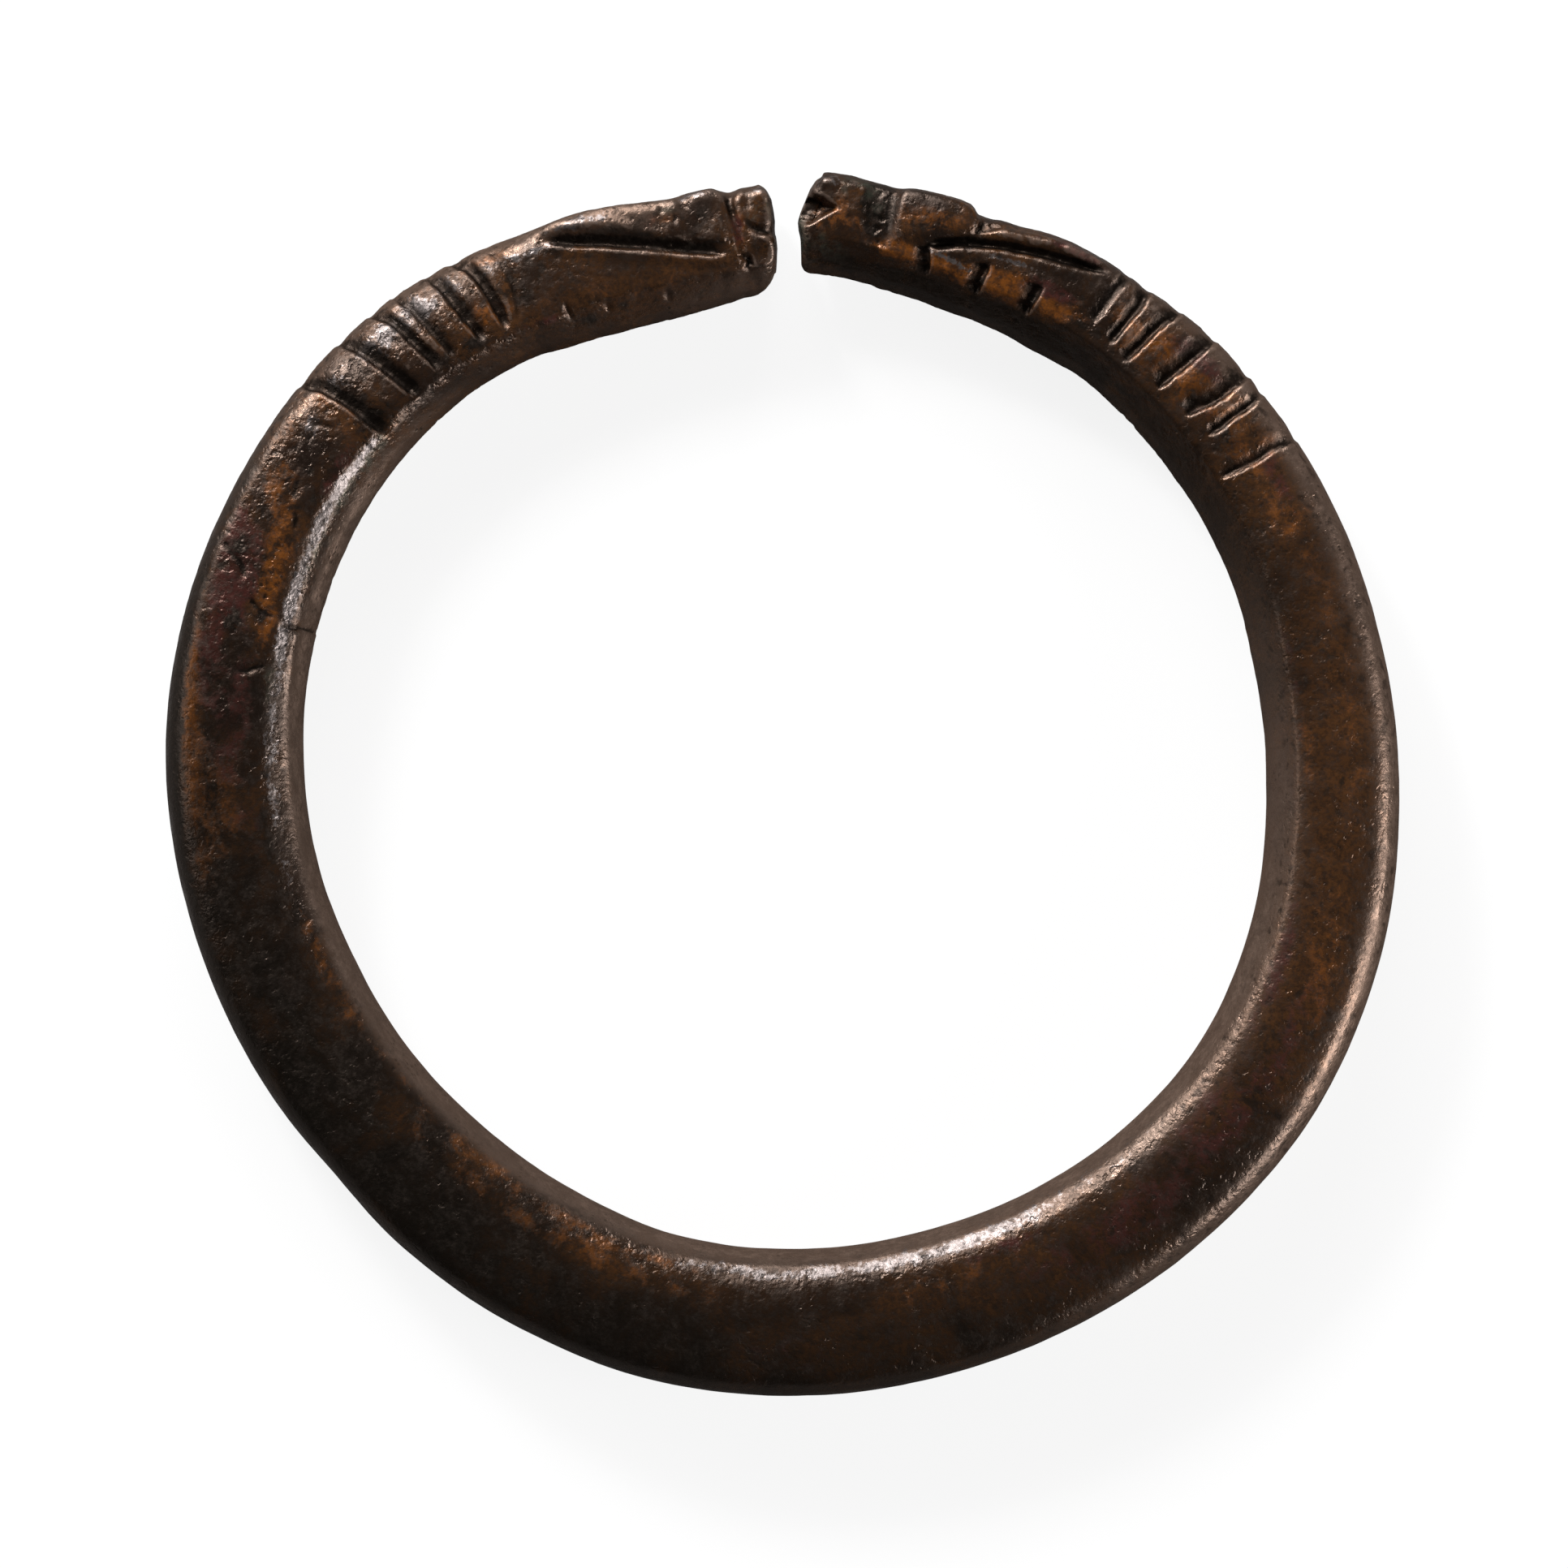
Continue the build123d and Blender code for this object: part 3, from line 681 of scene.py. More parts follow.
LEFT_CARVING = Carving(
    side=Side.LEFT,
    head_strokes={Mark.GROOVE: [
        Stroke([(0.17, 0.41), (0.273, 0.455), (0.345, 0.512), (0.444, 0.577), (0.519, 0.62), (0.594, 0.655),
                (0.673, 0.706), (0.738, 0.745), (0.812, 0.818), (0.87, 0.905)], 0.6, 0.34, 0.14, -0.66),
        Stroke([(0.13, 0.69), (0.105, 0.625), (0.07, 0.575), (0.03, 0.545), (-0.01, 0.53)], 0.36, 0.22, 0.14,
                0.3),
    ], Mark.RIDGE: [
        Stroke([(0.177, 0.362), (0.273, 0.406), (0.345, 0.464), (0.444, 0.528), (0.519, 0.571),
                (0.594, 0.606), (0.673, 0.658), (0.738, 0.698), (0.812, 0.77), (0.876, 0.85)], 0.5, -0.18,
                0.1, 0.55),
        Stroke([(0.485, 0.715), (0.533, 0.78), (0.594, 0.838), (0.657, 0.872), (0.71, 0.888), (0.766, 0.925),
                (0.815, 0.95)], 0.5, -0.16, 0.25, -0.2),
        Stroke([(0.684, 0.735), (0.728, 0.77), (0.775, 0.822), (0.82, 0.885)], 0.16, -0.14, 0.3),
        Stroke([(0.182, 0.93), (0.18, 0.86), (0.174, 0.71), (0.163, 0.54), (0.152, 0.36), (0.138, 0.24)],
                0.18, -0.12, 0.15),
        Stroke([(0.095, 0.52), (0.05, 0.5), (0.022, 0.42), (0.016, 0.3), (0.026, 0.18), (0.06, 0.13)], 0.24,
                -0.16, 0.25),
    ], Mark.NICK: [
        Stroke([(0.872, 0.36), (0.878, 0.3), (0.88, 0.18)], 0.34, 0.26, 0.4),
        Stroke([(0.712, 0.29), (0.72, 0.17)], 0.34, 0.14, 0.45),
        Stroke([(0.463, 0.27), (0.464, 0.13)], 0.36, 0.18, 0.45),
        Stroke([(0.172, 0.98), (0.167, 0.86), (0.155, 0.7), (0.142, 0.53), (0.13, 0.38), (0.122, 0.3)], 0.36,
                0.28, 0.1),
        Stroke([(0.124, 0.4), (0.115, 0.31), (0.11, 0.2)], 0.42, 0.42, 0.4),
        Stroke([(0.455, 0.95), (0.44, 0.93)], 0.22, 0.16, 0.5),
        Stroke([(0.425, 0.95), (0.42, 0.9), (0.424, 0.85)], 0.26, 0.18, 0.5),
        Stroke([(0.39, 0.88), (0.372, 0.82), (0.38, 0.74)], 0.28, 0.18, 0.4),
    ]},
    neck_strokes={Mark.GROOVE: [
        Stroke([(0.885, 1.1), (0.863, 0.985), (0.832, 0.86), (0.822, 0.76), (0.812, 0.66), (0.804, 0.5),
                (0.802, 0.36), (0.795, 0.17)], 0.74, 0.44, 0.14, 0.6),
        Stroke([(0.69, 1.1), (0.668, 0.995), (0.645, 0.89), (0.63, 0.76), (0.616, 0.61), (0.608, 0.47),
                (0.598, 0.33), (0.58, 0.19)], 0.74, 0.42, 0.14, 0.6),
        Stroke([(0.54, 1.1), (0.523, 0.995), (0.492, 0.89), (0.476, 0.75), (0.469, 0.6), (0.46, 0.44),
                (0.456, 0.24)], 0.62, 0.36, 0.14, 0.6),
        Stroke([(0.438, 1.1), (0.42, 0.995), (0.404, 0.88), (0.394, 0.72), (0.386, 0.56), (0.379, 0.42),
                (0.375, 0.24)], 0.48, 0.3, 0.16, 0.55),
        Stroke([(0.3, 1.1), (0.285, 0.995), (0.266, 0.86), (0.262, 0.72), (0.256, 0.58), (0.25, 0.45),
                (0.24, 0.27)], 0.68, 0.36, 0.14, 0.6),
        Stroke([(0.205, 1.1), (0.186, 1.0), (0.153, 0.91), (0.138, 0.8), (0.131, 0.68), (0.131, 0.54),
                (0.134, 0.42), (0.138, 0.26)], 0.7, 0.38, 0.14, 0.58),
        Stroke([(0.056, 1.08), (0.048, 0.96), (0.034, 0.86), (0.028, 0.72), (0.038, 0.58), (0.062, 0.42),
                (0.105, 0.25)], 0.46, 0.16, 0.2, 0.5),
    ], Mark.RIDGE: [
        Stroke([(0.78, 1.02), (0.735, 0.75), (0.715, 0.36)], 0.8, -0.09, 0.3),
        Stroke([(0.598, 1.02), (0.56, 0.75), (0.54, 0.36)], 0.66, -0.1, 0.3),
        Stroke([(0.47, 1.02), (0.437, 0.75), (0.42, 0.36)], 0.42, -0.07, 0.3),
        Stroke([(0.36, 1.02), (0.33, 0.75), (0.318, 0.36)], 0.62, -0.1, 0.3),
        Stroke([(0.242, 1.02), (0.206, 0.75), (0.198, 0.36)], 0.56, -0.1, 0.3),
        Stroke([(0.118, 1.02), (0.085, 0.75), (0.094, 0.36)], 0.5, -0.12, 0.3),
    ], Mark.NICK: [
        Stroke([(0.826, 0.9), (0.815, 0.885), (0.806, 0.88)], 0.2, 0.18, 0.4),
        Stroke([(0.244, 0.44), (0.238, 0.28)], 0.4, 0.16, 0.4, 0.3),
        Stroke([(0.176, 0.98), (0.16, 0.93)], 0.45, 0.18, 0.4),
        Stroke([(0.95, 0.75), (0.905, 0.54)], 0.18, 0.12, 0.3),
        Stroke([(0.54, 0.75), (0.485, 0.65)], 0.18, 0.1, 0.3),
    ]},
    plates=[
        Plate([(0.345, 1.15), (0.345, 0.58), (0.441, 0.622), (0.485, 0.662), (0.533, 0.708), (0.594, 0.752),
               (0.657, 0.79), (0.71, 0.818), (0.766, 0.858), (0.827, 0.905), (0.9, 0.99), (0.93, 1.15)],
               0.46, 0.55),
        Plate([(0.196, 0.54), (0.192, 0.71), (0.19, 0.85), (0.192, 1.15), (0.325, 1.15), (0.332, 0.88),
               (0.335, 0.76), (0.33, 0.6), (0.26, 0.52)], 0.3, 0.36),
        Plate([(-0.04, 0.6), (-0.04, 1.15), (0.158, 1.15), (0.146, 0.82), (0.13, 0.7), (0.07, 0.61)], 0.16,
               0.3),
        Plate([(-0.04, 0.06), (-0.04, 0.5), (0.05, 0.52), (0.095, 0.54), (0.098, 0.38), (0.09, 0.22),
               (0.07, 0.08)], 0.14, 0.3),
    ],
    bosses=[
        Boss(0.06, 0.34, 0.5, 0.55, -0.22),
        Boss(0.048, 0.9, 0.5, 0.45, 0.16),
        Boss(0.105, 0.86, 0.3, 0.55, -0.16),
        Boss(0.255, 0.74, 0.8, 0.9, -0.14),
        Boss(0.262, 0.93, 0.8, 0.36, 0.16),
        Boss(0.66, 0.9, 1.9, 0.5, 0.1),
        Boss(0.45, 0.78, 1.2, 0.7, -0.1),
    ],
)

RIGHT_CARVING = Carving(
    side=Side.RIGHT,
    head_strokes={Mark.GROOVE: [
        Stroke([(0.4, 0.47), (0.426, 0.488), (0.484, 0.552), (0.541, 0.655), (0.605, 0.722), (0.657, 0.745),
                (0.718, 0.766), (0.779, 0.784), (0.832, 0.8), (0.902, 0.842), (0.973, 0.895), (1.0, 0.92)],
                0.44, 0.58, 0.12, -0.35),
    ], Mark.RIDGE: [
        Stroke([(0.42, 0.385), (0.45, 0.425), (0.484, 0.475), (0.541, 0.57), (0.605, 0.64), (0.657, 0.668),
                (0.718, 0.69), (0.779, 0.706), (0.832, 0.72), (0.902, 0.765), (0.973, 0.825)], 0.48, -0.1,
                0.1, 0.3),
        Stroke([(0.585, 0.83), (0.614, 0.845), (0.663, 0.865), (0.736, 0.88), (0.793, 0.898), (0.845, 0.908),
                (0.924, 0.93), (1.0, 0.965)], 0.52, -0.28, 0.18, -0.2),
        Stroke([(0.05, 0.87), (0.085, 0.9), (0.115, 0.89)], 0.5, -0.16, 0.4),
    ], Mark.NICK: [
        Stroke([(0.426, 0.52), (0.432, 0.44), (0.442, 0.37), (0.448, 0.2)], 0.74, 0.46, 0.22, 0.74),
        Stroke([(0.64, 0.57), (0.639, 0.46), (0.637, 0.37), (0.634, 0.2)], 0.8, 0.48, 0.22, 0.74),
        Stroke([(0.829, 0.55), (0.827, 0.44), (0.825, 0.36), (0.82, 0.2)], 0.8, 0.48, 0.22, 0.74),
        Stroke([(0.572, 0.96), (0.572, 0.86), (0.552, 0.77)], 0.28, 0.22, 0.3, -0.3),
        Stroke([(0.252, 0.92), (0.238, 0.84)], 0.22, 0.18, 0.4),
        Stroke([(0.232, 0.7), (0.262, 0.64), (0.28, 0.66)], 0.2, 0.18, 0.35),
        Stroke([(0.275, 0.58), (0.246, 0.52), (0.238, 0.46)], 0.2, 0.18, 0.35),
        Stroke([(0.252, 0.44), (0.27, 0.4)], 0.2, 0.16, 0.35),
    ]},
    neck_strokes={Mark.GROOVE: [
        Stroke([(0.068, 1.08), (0.056, 0.9), (0.05, 0.78), (0.047, 0.58), (0.04, 0.4)], 0.7, 0.28, 0.2, 0.6),
        Stroke([(0.15, 1.1), (0.157, 0.99), (0.168, 0.83), (0.165, 0.68), (0.163, 0.51), (0.156, 0.35)],
                0.66, 0.42, 0.14, 0.72),
        Stroke([(0.306, 1.1), (0.298, 0.94), (0.286, 0.83), (0.276, 0.69), (0.272, 0.57), (0.262, 0.42),
                (0.252, 0.3)], 0.74, 0.44, 0.14, 0.76),
        Stroke([(0.482, 1.1), (0.474, 0.96), (0.468, 0.81), (0.462, 0.65), (0.452, 0.5), (0.44, 0.32)], 0.86,
                0.46, 0.14, 0.78),
        Stroke([(0.664, 1.1), (0.66, 0.9), (0.658, 0.7), (0.646, 0.585), (0.628, 0.48), (0.6, 0.34)], 0.9,
                0.44, 0.14, 0.8),
        Stroke([(0.745, 1.1), (0.75, 0.95), (0.758, 0.83), (0.751, 0.68), (0.75, 0.53), (0.735, 0.38)], 0.6,
                0.38, 0.15, 0.68),
        Stroke([(0.975, 1.1), (0.964, 0.9), (0.95, 0.78), (0.952, 0.63), (0.943, 0.5), (0.918, 0.25)], 0.62,
                0.34, 0.14, 0.74),
    ], Mark.RIDGE: [
        Stroke([(0.112, 1.02), (0.112, 0.7), (0.106, 0.4)], 0.55, -0.06, 0.3),
        Stroke([(0.234, 1.02), (0.226, 0.7), (0.214, 0.4)], 0.56, -0.07, 0.3),
        Stroke([(0.38, 1.02), (0.356, 0.7), (0.338, 0.4)], 0.8, -0.09, 0.3),
        Stroke([(0.55, 1.02), (0.524, 0.7), (0.502, 0.4)], 0.72, -0.09, 0.3),
        Stroke([(0.7, 1.02), (0.698, 0.7), (0.678, 0.4)], 0.42, -0.05, 0.3),
        Stroke([(0.83, 1.02), (0.83, 0.7), (0.82, 0.4)], 0.8, -0.1, 0.3),
    ], Mark.NICK: [
        Stroke([(0.784, 0.35), (0.838, 0.41)], 0.14, 0.08, 0.3),
        Stroke([(0.735, 0.25), (0.748, 0.27)], 0.14, 0.08, 0.3),
    ]},
    plates=[
        Plate([(0.316, 1.15), (0.535, 1.15), (0.556, 0.99), (0.567, 0.85), (0.531, 0.735), (0.491, 0.645),
               (0.435, 0.572), (0.377, 0.518), (0.323, 0.498), (0.304, 0.67), (0.302, 0.85)], 0.32, 0.5),
        Plate([(0.212, 1.15), (0.21, 0.85), (0.204, 0.66), (0.203, 0.5), (0.221, 0.395), (0.255, 0.325),
               (0.291, 0.388), (0.3, 0.49), (0.299, 0.63), (0.303, 0.74), (0.302, 0.85), (0.313, 1.15)],
               -0.22, 0.32),
        Plate([(-0.03, 0.82), (0.03, 0.79), (0.07, 0.73), (0.108, 0.655), (0.07, 0.57), (0.03, 0.515),
               (-0.03, 0.48)], -0.9, 0.24),
        Plate([(0.572, 0.8), (0.562, 1.15), (0.64, 1.15), (0.65, 0.95), (0.6, 0.86)], -0.2, 0.18),
    ],
    bosses=[
        Boss(0.09, 0.9, 0.6, 0.55, 0.12),
        Boss(0.08, 0.4, 1.1, 0.5, 0.06),
        Boss(0.43, 0.8, 1.4, 0.9, 0.12),
        Boss(0.36, 0.9, 0.5, 0.5, 0.06),
    ],
    mouths=[
        Plate([(-0.1, 0.86), (0.0, 0.8), (0.05, 0.74), (0.09, 0.655), (0.05, 0.58), (0.0, 0.51),
               (-0.1, 0.42)], -1.2, 0.16),
    ],
)


class NodeBoard:
    """A small hand for wiring a node tree."""

    NODES_IN_A_ROW = 24
    NODE_SPACING = (190, 320)

    def __init__(self, tree: bpy.types.NodeTree) -> None:
        """Keeps the tree and a place for the next node."""
        self.tree = tree
        self.column = 0

    def add(self, kind: str, inputs: Optional[Dict[object, object]] = None,
            **settings: object) -> bpy.types.Node:
        """Adds a node.

        Args:
            kind: the node's type.
            inputs: sockets or constants for its inputs, by name or number.
            **settings: the node's own properties.

        Returns:
            The new node.
        """
        node = self.tree.nodes.new(kind)
        self.column += 1
        row, column = divmod(self.column, self.NODES_IN_A_ROW)
        node.location = (column * self.NODE_SPACING[0], -row * self.NODE_SPACING[1])
        for name, value in settings.items():
            setattr(node, name, value)
        for key, value in (inputs or {}).items():
            self.feed(node.inputs[key], value)
        return node

    def feed(self, socket: Socket, value: object) -> None:
        """Links a socket into an input, or sets the input's constant."""
        if isinstance(value, Socket):
            self.tree.links.new(value, socket)
        else:
            socket.default_value = value

    def maths(self, operation: str, *values: object, clamp: bool = False) -> Socket:
        """Adds a Math node and returns its value."""
        node = self.add("ShaderNodeMath", dict(enumerate(values)), operation=operation, use_clamp=clamp)
        return node.outputs[0]

    def times(self, first: object, *others: object) -> Socket:
        """Multiplies values one after another."""
        for other in others:
            first = self.maths("MULTIPLY", first, other)
        return first

    def highest(self, first: object, *others: object) -> Socket:
        """Gives the highest of several values."""
        for other in others:
            first = self.maths("MAXIMUM", first, other)
        return first

    def vector(self, operation: str, *values: object) -> Socket:
        """Adds a Vector Math node and returns its vector, or its value where it has only that."""
        node = self.add("ShaderNodeVectorMath", dict(enumerate(values)), operation=operation)
        return node.outputs["Value" if operation in ("LENGTH", "DISTANCE", "DOT_PRODUCT") else "Vector"]

    def scaled(self, vector: Socket, factor: object) -> Socket:
        """Multiplies a vector by a number."""
        node = self.add("ShaderNodeVectorMath", {0: vector, "Scale": factor}, operation="SCALE")
        return node.outputs["Vector"]

    def ramp(self, value: object, low: object, high: object, to_low: object = 0.0,
             to_high: object = 1.0) -> Socket:
        """Maps a value smoothly from one range to another."""
        inputs = {"Value": value, "From Min": low, "From Max": high, "To Min": to_low, "To Max": to_high}
        return self.add("ShaderNodeMapRange", inputs, interpolation_type="SMOOTHSTEP").outputs["Result"]

    def noise(self, place: object, scale: object, detail: float = 4.0, rough: float = 0.5, lean: float = 0.0,
              seed: float = 0.0) -> Socket:
        """Adds a noise texture and returns its value, centred on one half."""
        inputs = {"Vector": place, "Scale": scale, "Detail": detail, "Roughness": rough, "Distortion": lean,
                  "W": seed}
        return self.add("ShaderNodeTexNoise", inputs, noise_dimensions="4D").outputs[0]

    def ripple(self, place: object, scale: object, detail: float, rough: float, seed: object) -> Socket:
        """Adds a noise texture and returns its value, centred on nought."""
        return self.maths("SUBTRACT", self.noise(place, scale, detail, rough, seed=seed), 0.5)

    def mix(self, share: object, first: object, second: object) -> Socket:
        """Mixes two colours by a share."""
        return self.add("ShaderNodeMix", {"Factor": share, 6: first, 7: second}, data_type="RGBA").outputs[2]

    def named(self, name: str, kind: str = "FLOAT") -> Socket:
        """Reads a named attribute in a Geometry Nodes tree."""
        return self.add("GeometryNodeInputNamedAttribute", {"Name": name}, data_type=kind).outputs[0]

    def sampled(self, geometry: Socket, value: Socket, index: Socket, kind: str = "FLOAT") -> Socket:
        """Reads a value at one numbered point of a geometry."""
        inputs = {"Geometry": geometry, "Value": value, "Index": index}
        return self.add("GeometryNodeSampleIndex", inputs, data_type=kind, domain="POINT").outputs[0]

    def nearest(self, geometry: Socket, place: Socket) -> Socket:
        """Numbers the point of a geometry that lies nearest to a place."""
        inputs = {"Geometry": geometry, "Sample Position": place}
        return self.add("GeometryNodeSampleNearest", inputs, domain="POINT").outputs[0]


class ShapeTree:
    """A Geometry Nodes tree with named inputs that ends in Realize Instances and Set Material."""

    def __init__(self, name: str, sockets: Dict[str, object]) -> None:
        """Makes the tree's interface.

        Args:
            name: the tree's name.
            sockets: each input's default, or the kind of data that it takes.
        """
        self.tree = bpy.data.node_groups.new(name, "GeometryNodeTree")
        face = self.tree.interface
        face.new_socket("Geometry", in_out="INPUT", socket_type="NodeSocketGeometry")
        for label, default in sockets.items():
            kind = default if isinstance(default, str) else {int: "Int", float: "Float"}[type(default)]
            socket = face.new_socket(label, in_out="INPUT", socket_type=f"NodeSocket{kind}")
            if kind != default:
                socket.default_value = default
        face.new_socket("Geometry", in_out="OUTPUT", socket_type="NodeSocketGeometry")
        self.board = NodeBoard(self.tree)
        self.inputs = self.board.add("NodeGroupInput").outputs

    def close(self, geometry: Socket) -> None:
        """Ends the tree."""
        real = self.board.add("GeometryNodeRealizeInstances", {"Geometry": geometry})
        dressed = self.board.add("GeometryNodeSetMaterial",
                                 {"Geometry": real.outputs[0], "Material": self.inputs["Material"]})
        self.board.add("NodeGroupOutput", {"Geometry": dressed.outputs[0]})

    def apply(self, piece: bpy.types.Object, values: Dict[str, object]) -> None:
        """Puts the tree on a piece with its own values.

        Args:
            piece: the object that gets the modifier.
            values: the value of each named input.
        """
        modifier = piece.modifiers.new(self.tree.name, "NODES")
        modifier.node_group = self.tree
        names = {item.name: item.identifier for item in self.tree.interface.items_tree
                 if item.in_out == "INPUT"}
        for label, value in values.items():
            modifier[names[label]] = value


def carving_tree() -> ShapeTree:
    """Builds the tree that cuts or raises a surface along drawn lines.

    Returns:
        The tree. Each point of the lines carries its own half width and depth.
    """
    tree = ShapeTree("carve_along_lines", {
        "Lines": "Object", "Material": "Material", "Waver": 0.25, "Waver Size": 900.0, "Outer Share": 0.4,
        "Breaks": 0.5, "Break Size": 1100.0, "Side Limit": 0.15, "Flank Limit": 0.75, "Full Cut": 0.20 * MM,
        "Evening Passes": 1, "Seed": 1.0,
    })
    board, given = tree.board, tree.inputs
    place = board.add("GeometryNodeInputPosition").outputs[0]
    normal = board.add("GeometryNodeInputNormal").outputs[0]
    flat = board.vector("MULTIPLY", place, (1.0, 1.0, 0.0))
    lines = board.add("GeometryNodeObjectInfo", {"Object": given["Lines"]}).outputs["Geometry"]
    nearest = board.nearest(lines, flat)

    def read(value: Socket, kind: str = "FLOAT") -> Socket:
        """Reads a value at the nearest point of the lines."""
        return board.sampled(lines, value, nearest, kind)

    line_place = read(place, "FLOAT_VECTOR")
    depth = read(board.named("depth"))
    wide_side = read(board.named("wide_side", "FLOAT_VECTOR"), "FLOAT_VECTOR")
    direction = board.vector("NORMALIZE", board.vector("SUBTRACT", flat, line_place))
    leaning = board.maths("ADD", board.vector("DOT_PRODUCT", direction, wide_side), 1.0)
    half_width = board.times(read(board.named("half_width")), leaning)
    away = board.vector("DISTANCE", flat, line_place)
    wander = board.times(board.ripple(place, given["Waver Size"], 3.0, 0.55, given["Seed"]), given["Waver"])
    wavering = board.times(away, board.maths("MULTIPLY_ADD", wander, 2.0, 1.0))
    share = board.maths("DIVIDE", wavering, half_width)
    fall = board.maths("SUBTRACT", 1.0, board.maths("MINIMUM", share, 1.0))
    profile = board.ramp(fall, 0.0, 1.0)
    upright = board.maths("ABSOLUTE", board.add("ShaderNodeSeparateXYZ", {0: normal}).outputs["Z"])
    facing = board.ramp(upright, given["Side Limit"], given["Flank Limit"], given["Outer Share"], 1.0)
    breaks = board.times(board.ripple(line_place, given["Break Size"], 3.0, 0.6, 2.0), given["Breaks"])
    cut = board.times(depth, board.maths("MULTIPLY_ADD", breaks, 2.0, 1.0), profile, facing)
    deepest = board.highest(board.named("carved"), board.maths("DIVIDE", cut, given["Full Cut"]))
    marked = board.add("GeometryNodeStoreNamedAttribute",
                       {"Geometry": given["Geometry"], "Name": "carved", "Value": deepest},
                       data_type="FLOAT", domain="POINT")
    moved = board.add("GeometryNodeSetPosition",
                      {"Geometry": marked.outputs[0], "Offset": board.scaled(normal, board.times(cut, -1.0))})
    even = board.add("GeometryNodeBlurAttribute", {
        "Value": board.add("GeometryNodeInputPosition").outputs[0], "Iterations": given["Evening Passes"],
        "Weight": board.ramp(profile, 0.0, 0.1, 0.0, 0.8)}, data_type="FLOAT_VECTOR")
    evened = board.add("GeometryNodeSetPosition", {"Geometry": moved.outputs[0], "Position": even.outputs[0]})
    tree.close(evened.outputs[0])
    return tree


def casting_skin_tree() -> ShapeTree:
    """Builds the tree that gives the metal its hammered unevenness and scattered pits.

    Returns:
        The tree. Pits are scattered where the attribute "fine" is high.
    """
    tree = ShapeTree("casting_skin", {
        "Material": "Material", "Broad Scale": 420.0, "Broad Height": 0.10 * MM, "Fine Scale": 1300.0,
        "Fine Height": 0.12 * MM, "Pit Density": 6.0e5, "Pit Radius": 0.30 * MM, "Pit Depth": 0.05 * MM,
        "Smallest Pit": 0.35, "Pit Waver": 2.4, "Seed": 7,
    })
    board, given = tree.board, tree.inputs
    place = board.add("GeometryNodeInputPosition").outputs[0]
    normal = board.add("GeometryNodeInputNormal").outputs[0]
    fine = board.named("fine")
    broad = board.ripple(place, given["Broad Scale"], 3.0, 0.5, 3.0)
    small = board.ripple(place, given["Fine Scale"], 3.0, 0.6, 5.0)
    scattered = board.add("GeometryNodeDistributePointsOnFaces", {
        "Mesh": given["Geometry"], "Density": board.times(given["Pit Density"], fine),
        "Seed": given["Seed"]}, distribute_method="RANDOM")
    pits = scattered.outputs["Points"]
    size = board.add("FunctionNodeRandomValue", {2: given["Smallest Pit"], 3: 1.0, "Seed": given["Seed"]},
                     data_type="FLOAT")
    nearest = board.nearest(pits, place)
    centre = board.sampled(pits, place, nearest, "FLOAT_VECTOR")
    reach = board.sampled(pits, size.outputs[1], nearest)
    uneven = board.maths("MULTIPLY_ADD", small, given["Pit Waver"], 1.0)
    away = board.times(board.vector("DISTANCE", place, centre), uneven)
    dip = board.ramp(board.maths("DIVIDE", away, board.times(reach, given["Pit Radius"])), 1.0, 0.1)
    swell = board.maths("ADD", board.times(broad, given["Broad Height"]),
                        board.times(small, given["Fine Height"], fine))
    rise = board.maths("SUBTRACT", swell, board.times(given["Pit Depth"], fine, dip, reach))
    moved = board.add("GeometryNodeSetPosition",
                      {"Geometry": given["Geometry"], "Offset": board.scaled(normal, rise)})
    tree.close(moved.outputs[0])
    return tree


HOOP_MARKS: Tuple[Stroke, ...] = (
    Stroke([(156.4, 0.9), (157.3, 0.8), (158.1, 0.68), (159.2, 0.62)], 0.26, 0.3, 0.15, 0.5),
    Stroke([(160.6, 0.56), (161.5, 0.47), (161.9, 0.38), (161.7, 0.3)], 0.24, 0.26, 0.15, 0.5),
    Stroke([(162.6, 0.28), (162.3, 0.18), (161.9, -0.01)], 0.24, 0.3, 0.1, 0.3),
    Stroke([(168.3, 0.53), (168.2, 0.44), (167.6, 0.38), (167.2, 0.29)], 0.26, 0.28, 0.15, 0.5),
    Stroke([(169.5, 0.68), (169.7, 0.58)], 0.24, 0.18, 0.4),
    Stroke([(150.5, 0.52), (151.5, 0.44), (152.8, 0.42)], 0.34, 0.2, 0.3, 0.4),
    Stroke([(147.5, 0.6), (149.0, 0.55), (150.0, 0.58)], 0.34, 0.18, 0.3, 0.4),
    Stroke([(159.5, 0.44), (160.6, 0.43)], 0.36, 0.22, 0.4),
    Stroke([(176.6, 0.8), (176.9, 0.76)], 0.3, 0.22, 0.5),
    Stroke([(142.7, 0.75), (141.9, 0.64), (141.2, 0.54)], 0.2, 0.12, 0.3),
    Stroke([(131.8, 0.75), (130.3, 0.65)], 0.2, 0.12, 0.3),
    Stroke([(365.5, 0.41), (365.2, 0.39)], 0.3, 0.16, 0.5),
    Stroke([(360.1, 0.33), (359.8, 0.31)], 0.32, 0.18, 0.5),
    Stroke([(357.2, 0.37), (356.9, 0.35)], 0.26, 0.14, 0.5),
    Stroke([(354.8, 0.34), (353.0, 0.35)], 0.28, 0.16, 0.4),
    Stroke([(351.6, 0.38), (351.3, 0.36)], 0.26, 0.14, 0.5),
)


class Tint(Enum):
    """The colours of tarnish, with painted shade and painted light among them. The value is the attribute that
    carries the strength.
    """

    ORANGE = "stain_orange"
    RED = "stain_red"
    # black tarnish, and also painted shade in its broad patches over the lower left
    BLACK = "stain_black"
    GREEN = "stain_green"
    # bare metal, and also painted highlights on the heads' crests, the left neck's ribs and the bottom chamfer
    SILVER = "stain_silver"
    # painted shade: darkens walls and faces that lie in shade toward black
    SHADE = "stain_shade"
    # rubbing on the inner walls, and also painted light on lit outer rims and walls
    POLISH = "stain_polish"
    ROUGH = "rough_patch"
    CLEAN = "clean_patch"


